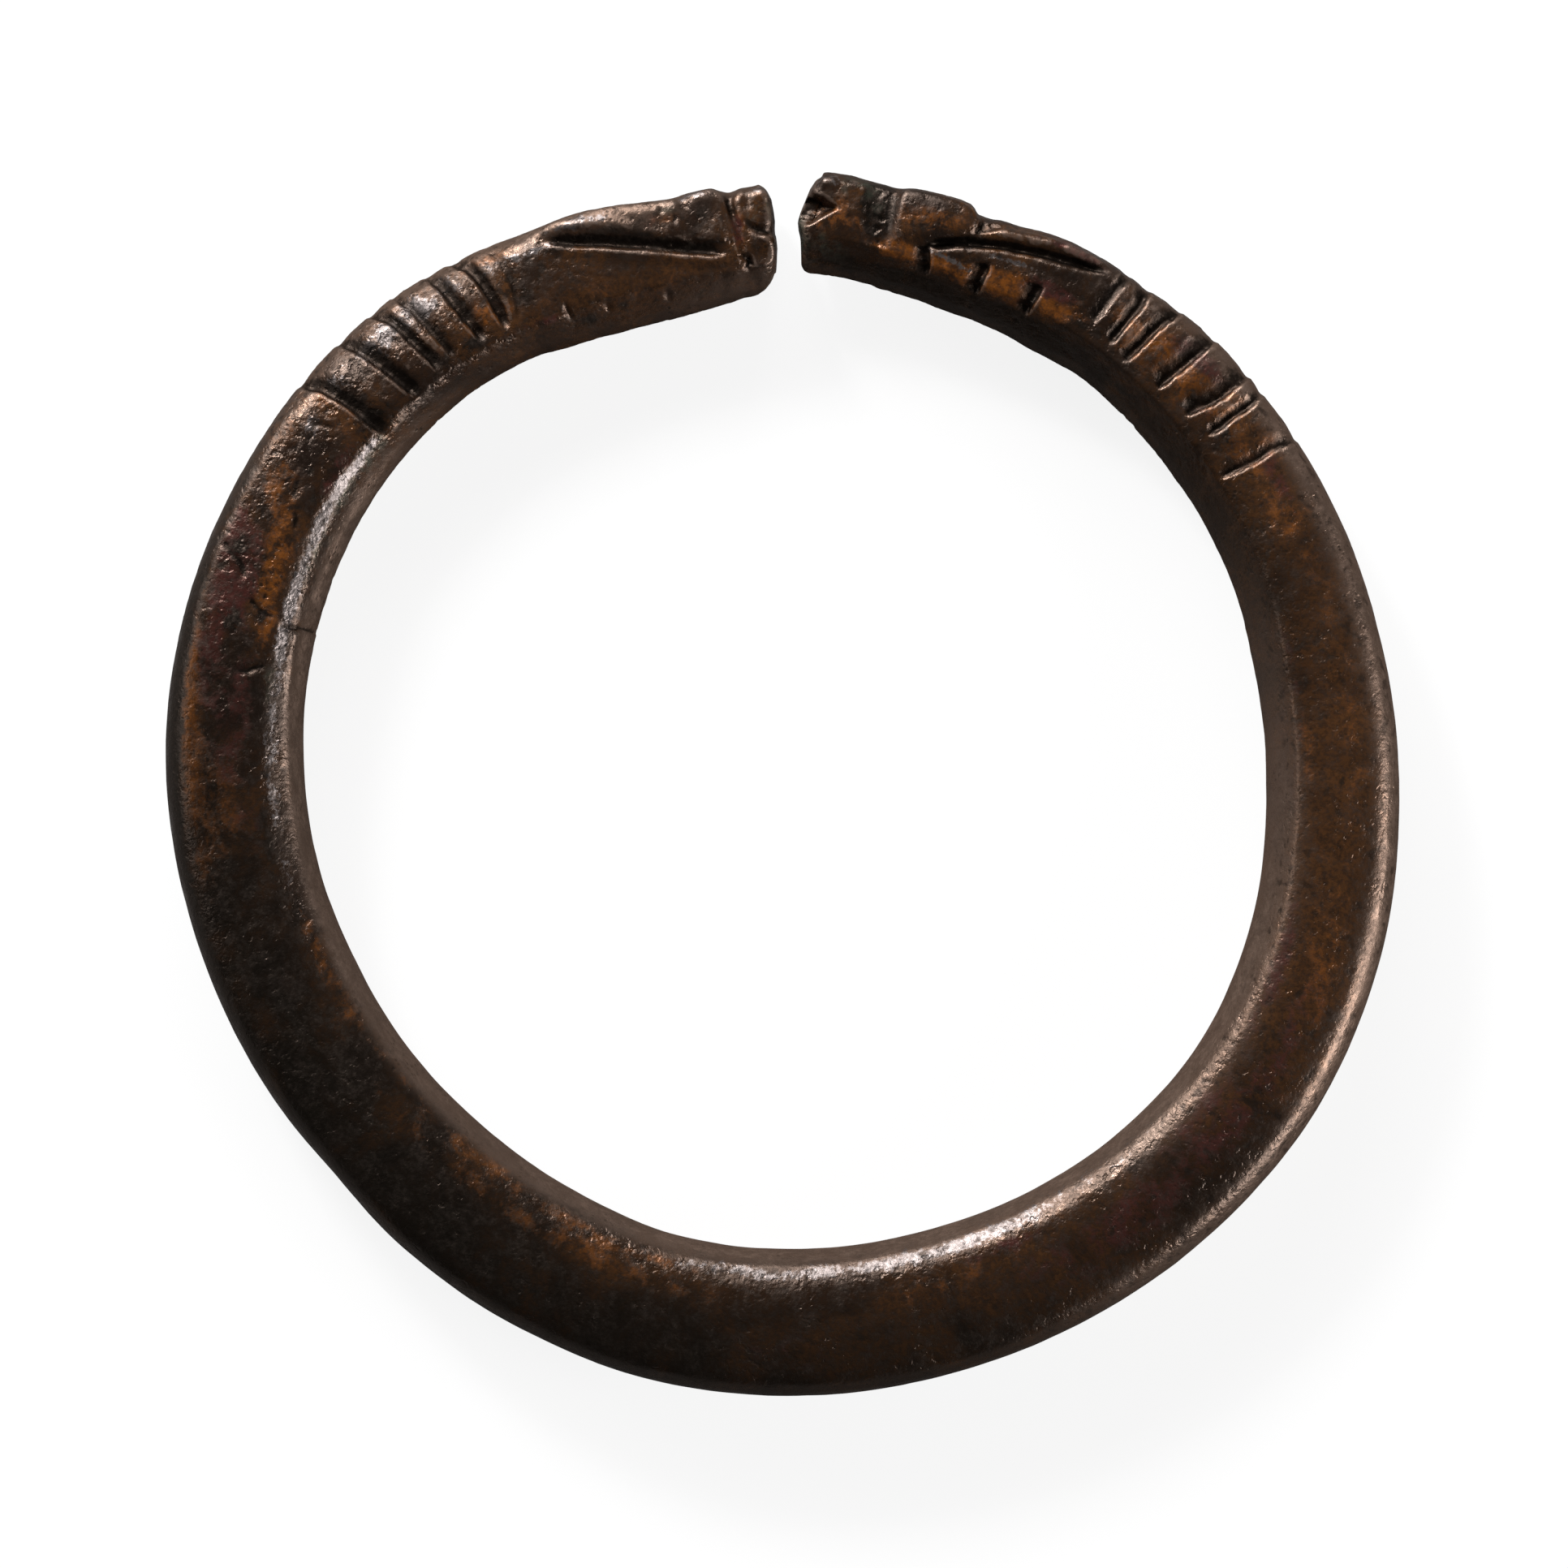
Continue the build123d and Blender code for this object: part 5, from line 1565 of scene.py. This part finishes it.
def casting_grain() -> EffectGroup:
    """Builds the fine relief of old cast metal: a pocked hide, a finer peel and small pits."""
    group = EffectGroup("casting_grain", {
        "Hide Scale": 1300.0, "Hide": 1.0, "Pock Size": 1.6, "Pocks": -0.35, "Patch Scale": 260.0,
        "Peel Scale": 3400.0, "Peel": 0.34, "Pit Scale": 2600.0, "Pit Patch Scale": 420.0, "Pits": 0.5,
        "Pit Height": -0.25, "Seed": 1.0}, ["Height", "Pitted", "Crevices"])
    board, given, place = group.board, group.given, group.place
    seed = given["Seed"]
    hide = board.noise(place, given["Hide Scale"], 3.0, 0.5, seed=seed)
    pocks = board.noise(place, board.times(given["Hide Scale"], given["Pock Size"]), 2.0, 0.5,
                        seed=board.maths("ADD", seed, 4.0))
    # Crevices: the hide's low places, which the bronze darkens toward the dirt colour as dirt and also as
    # painted shade
    crevices = board.maths("MULTIPLY", board.ramp(hide, 0.46, 0.32), given["Hide"], clamp=True)
    patches = board.noise(place, given["Patch Scale"], 3.0, 0.5, seed=board.maths("ADD", seed, 9.0))
    strength = board.times(given["Hide"], board.ramp(patches, 0.36, 0.64, 0.35, 1.0))
    pocked = board.maths("MULTIPLY_ADD", board.ramp(pocks, 0.46, 0.30), given["Pocks"], hide)
    peel = board.noise(place, given["Peel Scale"], 3.0, 0.6, seed=seed)
    cells = board.add("ShaderNodeTexVoronoi", {"Vector": place, "Scale": given["Pit Scale"]}, feature="F1")
    keep = board.ramp(board.noise(place, given["Pit Patch Scale"], 3.0, 0.6, seed=seed), 0.45, 0.66)
    dips = board.times(board.ramp(cells.outputs["Distance"], 0.45, 0.08), keep)
    pitted = board.maths("MULTIPLY", dips, given["Pits"], clamp=True)
    fine = board.maths("MULTIPLY_ADD", peel, given["Peel"], board.times(pitted, given["Pit Height"]))
    group.close(Height=board.maths("ADD", board.times(pocked, strength), fine), Pitted=pitted,
                Crevices=crevices)
    return group


@dataclass(frozen=True)
class BronzeFinish:
    """Old bronze: brown tarnish with orange, red and black stains, rubbed to metal where it stands proud, with
    painted shade and painted light mixed into its colour.

    Attributes:
        brown: the tarnish, with dark as its clouds and specks, and dirt as what lies in hollows and cuts.
        orange: a stain's colour, as are red and green; black is black tarnish and also painted shade, silver is
            bare metal and also painted highlights, and polish is rubbed metal and also painted light.
        metal: bare metal on rubbed edges, with edge_glow as the tint of its reflections.
        smooth: roughness of the clear places, with rough as that of the clouded ones.
        gloss: strength of the reflections.
        relief: height of the fine relief, in metres, with bumping as its strength.
        rubbing: share of bare metal on worn edges.
        settling: share of dirt in deep hollows, with soot and sinking as those of cuts, pits and crevices; the
            crevices' darkening is also painted shade.
        clouding: how strongly the small clouds darken, with speckling as that of the specks.
        mottling: how much the small and the broad clouds push a stain.
        stain_span: strength where a stain starts and where it is full, as have silver and soot.
        silver_and_highlight_breaks: how much the specks and the small clouds break silver up.
        polishing: the most that the polish tone covers, as rubbed metal and also as painted light.
        metallic: how metallic the tarnish is, and how much bare, polished or dirty places add.
        matting: what the specks, and what dirt, polish or silver, add to the roughness.
    """

    brown: Colour = (0.080, 0.033, 0.012, 1.0)
    dark: Colour = (0.012, 0.007, 0.005, 1.0)
    orange: Colour = (0.175, 0.056, 0.010, 1.0)
    red: Colour = (0.060, 0.017, 0.014, 1.0)
    # black tarnish colour, and also the colour of the painted shade
    black_and_shade: Colour = (0.005, 0.004, 0.003, 1.0)
    green: Colour = (0.040, 0.044, 0.032, 1.0)
    # bare metal tone, and also the colour of painted highlights
    silver_and_highlight: Colour = (0.150, 0.128, 0.122, 1.0)
    # rubbed metal tone, and also the colour of painted light on lit rims and walls
    polish_and_light: Colour = (0.170, 0.115, 0.088, 1.0)
    dirt: Colour = (0.010, 0.0075, 0.006, 1.0)
    metal: Colour = (0.50, 0.36, 0.29, 1.0)
    edge_glow: Colour = (0.78, 0.59, 0.49, 1.0)
    smooth: float = 0.16
    rough: float = 0.34
    gloss: float = 0.8
    relief: float = 0.12 * MM
    bumping: float = 0.9
    rubbing: float = 0.12
    settling: float = 0.85
    clouding: float = 0.7
    speckling: float = 0.65
    mottling: Pair = (0.5, 0.3)
    stain_span: Pair = (0.75, 1.35)
    silver_and_highlight_span: Pair = (0.0, 0.45)
    silver_and_highlight_breaks: Pair = (0.45, 0.55)
    soot_span: Pair = (0.05, 0.9)
    soot: float = 0.9
    sinking: Pair = (0.8, 0.75)
    polishing: float = 0.8
    metallic: Pair = (0.35, 0.5)
    matting: Pair = (0.12, 0.13)

    def material(self) -> bpy.types.Material:
        """Builds the bronze.

        Returns:
            The material, which reads the attributes that the carving left.
        """
        bronze = bpy.data.materials.new("old_bronze")
        bronze.use_nodes = True
        bronze.node_tree.nodes.clear()
        board = NodeBoard(bronze.node_tree)
        clouds = patina_clouds().use(board, Seed=2.0).outputs
        pits = board.maths("MULTIPLY_ADD", self._mark(board, "fine"), 0.6, 0.4)
        hide = board.maths("ADD", self._mark(board, Tint.ROUGH.value), self._mark(board, "hide"))
        grain = casting_grain().use(board, Pits=pits, Hide=hide, Seed=8.0).outputs
        unclean = board.maths("SUBTRACT", 1.0, self._mark(board, Tint.CLEAN.value))
        rubbed = rubbed_high_places().use(board, Worn=self._mark(board, "worn"), Seed=4.0,
                                          Amount=self.rubbing).outputs["Rubbed"]
        # polish mask: the wrist's rubbing, and also painted light on lit rims and walls
        polished = board.times(self._mark(board, Tint.POLISH.value), self.polishing)
        # silver mask: bare metal and also painted highlights, broken up by the specks and the small clouds
        broken = board.maths("MULTIPLY_ADD", clouds["Specks"], self.silver_and_highlight_breaks[0],
                             board.times(clouds["Small"], self.silver_and_highlight_breaks[1]))
        silver_and_highlight = board.ramp(board.maths("SUBTRACT", self._mark(board, Tint.SILVER.value), broken),
                            *self.silver_and_highlight_span)
        dirty = self._dirt(board, clouds, unclean)
        # pits and crevices darkened toward the dirt colour: dirt, and in the crevices also painted shade
        sunk = board.highest(board.times(grain["Pitted"], self.sinking[0]),
                             board.times(grain["Crevices"], self.sinking[1]))
        colour = self._tarnish(board, clouds, unclean)
        for share, tone in ((polished, self.polish_and_light), (silver_and_highlight, self.silver_and_highlight), (dirty, self.dirt),
                            (rubbed, self.metal), (sunk, self.dirt)):
            colour = board.mix(share, colour, tone)
        bare = board.highest(rubbed, silver_and_highlight, dirty, polished)
        metallic = board.maths("MULTIPLY_ADD", bare, self.metallic[1], self.metallic[0], clamp=True)
        roughness = board.maths("MULTIPLY_ADD", clouds["Small"], self.rough - self.smooth, self.smooth)
        roughness = board.maths("MULTIPLY_ADD", clouds["Specks"], self.matting[0], roughness)
        matt = board.highest(dirty, polished, silver_and_highlight)
        roughness = board.maths("MULTIPLY_ADD", matt, self.matting[1], roughness, clamp=True)
        bump = board.add("ShaderNodeBump", {"Height": grain["Height"], "Distance": self.relief,
                                            "Strength": self.bumping})
        shader = board.add("ShaderNodeBsdfPrincipled", {
            "Base Color": colour, "Metallic": metallic, "Roughness": roughness, "Normal": bump.outputs[0],
            "Specular Tint": self.edge_glow, "Specular IOR Level": self.gloss})
        board.add("ShaderNodeOutputMaterial", {"Surface": shader.outputs[0]})
        return bronze

    @staticmethod
    def _mark(board: NodeBoard, name: str) -> Socket:
        """Reads one attribute of the casting."""
        return board.add("ShaderNodeAttribute", attribute_name=name, attribute_type="GEOMETRY").outputs["Fac"]

    def _tarnish(self, board: NodeBoard, clouds: bpy.types.NodeOutputs, unclean: Socket) -> Socket:
        """Mixes the clouded tarnish and its stains, and darkens it toward black with the painted shade.

        Args:
            board: the material's board.
            clouds: the outputs of the clouding.
            unclean: the share of tarnish that cleaning has left.

        Returns:
            The tarnish's colour, with the painted shade in it.
        """
        broad = board.times(board.maths("SUBTRACT", 1.0, clouds["Broad"]), unclean)
        colour = board.mix(broad, self.brown, self.dark)
        colour = board.mix(board.times(clouds["Small"], self.clouding, unclean), colour, self.dark)
        mottle = board.maths("MULTIPLY_ADD", clouds["Small"], self.mottling[0],
                             board.times(clouds["Broad"], self.mottling[1]))
        for tint, tone in ((Tint.ORANGE, self.orange), (Tint.RED, self.red), (Tint.BLACK, self.black_and_shade),
                           (Tint.GREEN, self.green)):
            pushed = board.maths("ADD", self._mark(board, tint.value), mottle)
            colour = board.mix(board.ramp(pushed, *self.stain_span), colour, tone)
        colour = board.mix(board.times(clouds["Specks"], self.speckling), colour, self.dark)
        # painted shade: the shade mask, thinned a little by the broad clouds, darkens the colour toward black
        thin = board.maths("MULTIPLY_ADD", clouds["Broad"], -0.2, 1.0)
        return board.mix(board.times(self._mark(board, Tint.SHADE.value), thin), colour, self.black_and_shade)

    def _dirt(self, board: NodeBoard, clouds: bpy.types.NodeOutputs, unclean: Socket) -> Socket:
        """Joins the dirt of the hollows and the soot of the cut lines.

        Args:
            board: the material's board.
            clouds: the outputs of the clouding.
            unclean: the share of dirt that cleaning has left.

        Returns:
            The share that is covered.
        """
        hollow = self._mark(board, "hollow")
        settled = settled_dirt().use(board, Hollow=hollow, Seed=6.0, Amount=self.settling)
        sooty = board.maths("MULTIPLY_ADD", clouds["Specks"], -0.3,
                            board.times(self._mark(board, "carved"), unclean))
        return board.highest(board.times(settled.outputs["Dirt"], unclean),
                             board.times(board.ramp(sooty, *self.soot_span), self.soot))


@dataclass
class Bracelet:
    """The dressed bracelet: the plain casting, its relief, its carved lines and its skin.

    Attributes:
        casting: the plain casting.
        finish: the bronze.
        cuts: each layer's strength on upright faces, and how uneven its depth is.
        hoop_fine: share of the fine pitting that the plain hoop gets.
        fine_fade: how far behind the necks the fine pitting starts to fade and has faded, in metres.
        flank_span: how level a face is where the relief starts and where it is full.
    """

    casting: Casting
    finish: BronzeFinish = field(default_factory=BronzeFinish)
    cuts: Dict[Mark, Pair] = field(default_factory=lambda: {
        Mark.GROOVE: (0.30, 0.45), Mark.RIDGE: (0.10, 0.6), Mark.NICK: (0.55, 0.15)})
    hoop_fine: float = 0.22
    fine_fade: Pair = (10 * MM, 16 * MM)
    flank_span: Pair = (0.15, 0.8)

    def build(self) -> bpy.types.Object:
        """Builds the finished piece.

        Returns:
            One closed object, dressed and plain of modifiers.
        """
        bronze = self.finish.material()
        mesh = self.casting.make_mesh("bracelet_plain", self.casting.places())
        mesh.materials.append(bronze)
        self._relief(mesh)
        plain = set_out("bracelet_plain", mesh)
        lines = [self.casting.lines(mark) for mark in Mark]
        carve = carving_tree()
        for mark, line in zip(Mark, lines):
            outer, breaks = self.cuts[mark]
            carve.apply(plain, {"Lines": line, "Material": bronze, "Outer Share": outer, "Breaks": breaks})
        casting_skin_tree().apply(plain, {"Material": bronze})
        ready = plain.evaluated_get(bpy.context.evaluated_depsgraph_get())
        carved = bpy.data.meshes.new_from_object(ready)
        carved.name = "carved_bronze_bracelet"
        plain.modifiers.clear()
        for leftover in lines + [plain]:
            bpy.data.objects.remove(leftover, do_unlink=True)
        self._rest_flat(carved)
        SurfaceRecord(self.casting).keep(carved)
        carved.shade_smooth()
        return set_out("carved_bronze_bracelet", carved)

    def _relief(self, mesh: Mesh) -> None:
        """Raises the plates and bosses on both flanks, and marks where the fine pitting goes."""
        places, normals = read_places(mesh), read_normals(mesh)
        stations, bangle = self.casting.stations, self.casting.bangle
        rise = np.zeros(len(places))
        for carving in self.casting.carvings:
            high = (places[:, 0] * carving.side.value < 0) & (places[:, 1] > 0)
            rise[high] = carving.rise(stations, places[high, :2])
        facing = soft_step(*self.flank_span, np.abs(normals[:, 2]))
        places += normals * (rise * facing)[:, None]
        for carving in self.casting.carvings:
            high = (places[:, 0] * carving.side.value < 0) & (places[:, 1] > 0)
            places[high, 2] = np.minimum(places[high, 2], carving.ceiling(stations, places[high, :2]))
        mesh.vertices.foreach_set("co", places.ravel())
        rows, columns = self.casting.grid_shape
        closing = (rows - len(stations.turn)) // 2
        behind = np.pad(stations.to_muzzle, closing, mode="edge")
        worked = max(bangle.head_length.values()) + min(bangle.neck_length.values())
        start, stop = self.fine_fade
        fine = 1 - (1 - self.hoop_fine) * soft_step(worked + start, worked + stop, behind)
        store(mesh, "fine", np.concatenate([np.repeat(fine, columns), [1.0, 1.0]]))
        mesh.update()

    @staticmethod
    def _rest_flat(mesh: Mesh) -> None:
        """Wears the underside flat where it rests."""
        places = read_places(mesh)
        places[:, 2] = np.maximum(places[:, 2], 0.0)
        mesh.vertices.foreach_set("co", places.ravel())
        mesh.update()


class Lamp(NamedTuple):
    """A soft lamp: its place and its width and height in metres, and its power in watts."""

    name: str
    place: Tuple[float, float, float]
    size: Pair
    power: float


@dataclass
class Studio:
    """A pale floor, soft lamps and the camera straight above the bracelet.

    Attributes:
        view_width: width of the photograph at the bar's middle height, in metres.
        camera_height: distance from that height up to the camera, in metres.
        view_centre: the point that the camera looks at.
        sensor_width: the camera's sensor, in millimetres.
        clip: the nearest and the farthest thing that it sees, in metres.
        lamps: the lamps.
        surroundings_light: strength of the dim surroundings.
        paper: the two tones of the paper floor.
        paper_glow: how bright the lit paper floor looks by itself.
        paper_reach: half the floor's width, in metres.
        paper_drop: how far it lies below the bracelet, in metres.
    """

    view_width: float = 0.1016
    camera_height: float = 0.90
    view_centre: Tuple[float, float, float] = (0.00008, 0.00005, 0.0041)
    sensor_width: float = 36.0
    clip: Pair = (0.01, 20.0)
    lamps: Tuple[Lamp, ...] = (
        Lamp("north_window", (-0.26, 0.60, 0.28), (0.85, 0.50), 10.0),
        Lamp("bright_pane", (-0.34, 0.56, 0.42), (0.14, 0.14), 4.2),
        Lamp("east_window", (0.64, -0.26, 0.20), (0.55, 0.30), 6.5),
        Lamp("west_wall", (-0.62, 0.12, 0.24), (0.40, 0.35), 0.7),
    )
    surroundings_light: float = 0.06
    paper: Tuple[Colour, Colour] = ((0.13, 0.13, 0.13, 1.0), (0.14, 0.14, 0.14, 1.0))
    paper_glow: float = 0.86
    paper_reach: float = 3.0
    paper_drop: float = 0.05 * MM

    def camera(self) -> None:
        """Makes the camera and gives it to the scene."""
        data = bpy.data.cameras.new("camera")
        data.sensor_width = self.sensor_width
        data.sensor_fit = "HORIZONTAL"
        data.lens = data.sensor_width * self.camera_height / self.view_width
        data.clip_start, data.clip_end = self.clip
        camera = set_out("camera", data)
        camera.location = Vector(self.view_centre) + Vector((0.0, 0.0, self.camera_height))
        bpy.context.scene.camera = camera

    def hang(self, lamp: Lamp) -> None:
        """Hangs a soft lamp that looks at the bracelet."""
        data = bpy.data.lights.new(lamp.name, "AREA")
        data.shape = "RECTANGLE"
        data.size, data.size_y = lamp.size
        data.energy = lamp.power
        hung = set_out(lamp.name, data)
        hung.location = lamp.place
        aim = Vector(self.view_centre) - Vector(lamp.place)
        hung.rotation_euler = aim.to_track_quat("-Z", "Y").to_euler()

    def floor(self) -> None:
        """Lays the plain pale floor."""
        paper = bpy.data.materials.new("pale_paper")
        paper.use_nodes = True
        board = NodeBoard(paper.node_tree)
        shader = paper.node_tree.nodes["Principled BSDF"]
        place = board.add("ShaderNodeTexCoord").outputs["Object"]
        board.feed(shader.inputs["Base Color"], board.mix(board.noise(place, 6.0, 2.0, 0.5), *self.paper))
        shader.inputs["Roughness"].default_value = 0.9
        shader.inputs["Specular IOR Level"].default_value = 0.1
        shader.inputs["Emission Color"].default_value = (1.0, 1.0, 1.0, 1.0)
        seen = board.add("ShaderNodeLightPath").outputs["Is Camera Ray"]
        board.feed(shader.inputs["Emission Strength"], board.times(seen, self.paper_glow))
        mesh = bpy.data.meshes.new("floor")
        corners = ((-1, -1), (1, -1), (1, 1), (-1, 1))
        mesh.from_pydata([(x * self.paper_reach, y * self.paper_reach, -self.paper_drop) for x, y in corners],
                         [], [(0, 1, 2, 3)])
        mesh.materials.append(paper)
        floor = set_out("floor", mesh)

    def surroundings(self) -> None:
        """Sets the dim surroundings and a plain view of colour."""
        scene = bpy.context.scene
        world = bpy.data.worlds.new("studio")
        world.use_nodes = True
        background = world.node_tree.nodes["Background"]
        background.inputs["Color"].default_value = (1.0, 1.0, 1.0, 1.0)
        background.inputs["Strength"].default_value = self.surroundings_light
        scene.world = world
        scene.view_settings.view_transform = "Standard"
        scene.view_settings.look = "None"

    def build(self) -> None:
        """Builds the floor, the surroundings, the lamps and the camera."""
        self.floor()
        self.surroundings()
        for lamp in self.lamps:
            self.hang(lamp)
        self.camera()


def main() -> None:
    """Builds the bracelet in its studio."""
    logging.basicConfig(level=logging.INFO, format="%(name)s: %(message)s")
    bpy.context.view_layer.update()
    low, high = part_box(NODE)
    bangle = Bangle(box_width=high[0] - low[0], box_height=high[2] - low[2])
    stations = Stations(bangle)
    casting = Casting(bangle, stations, Contour(bangle))
    Studio().build()
    piece = Bracelet(casting).build()
    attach(piece, BODY)
    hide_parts(NODE)
    log.info("%s: %d points, %d faces", piece.name, len(piece.data.vertices), len(piece.data.polygons))


if __name__ == "__main__":
    main()
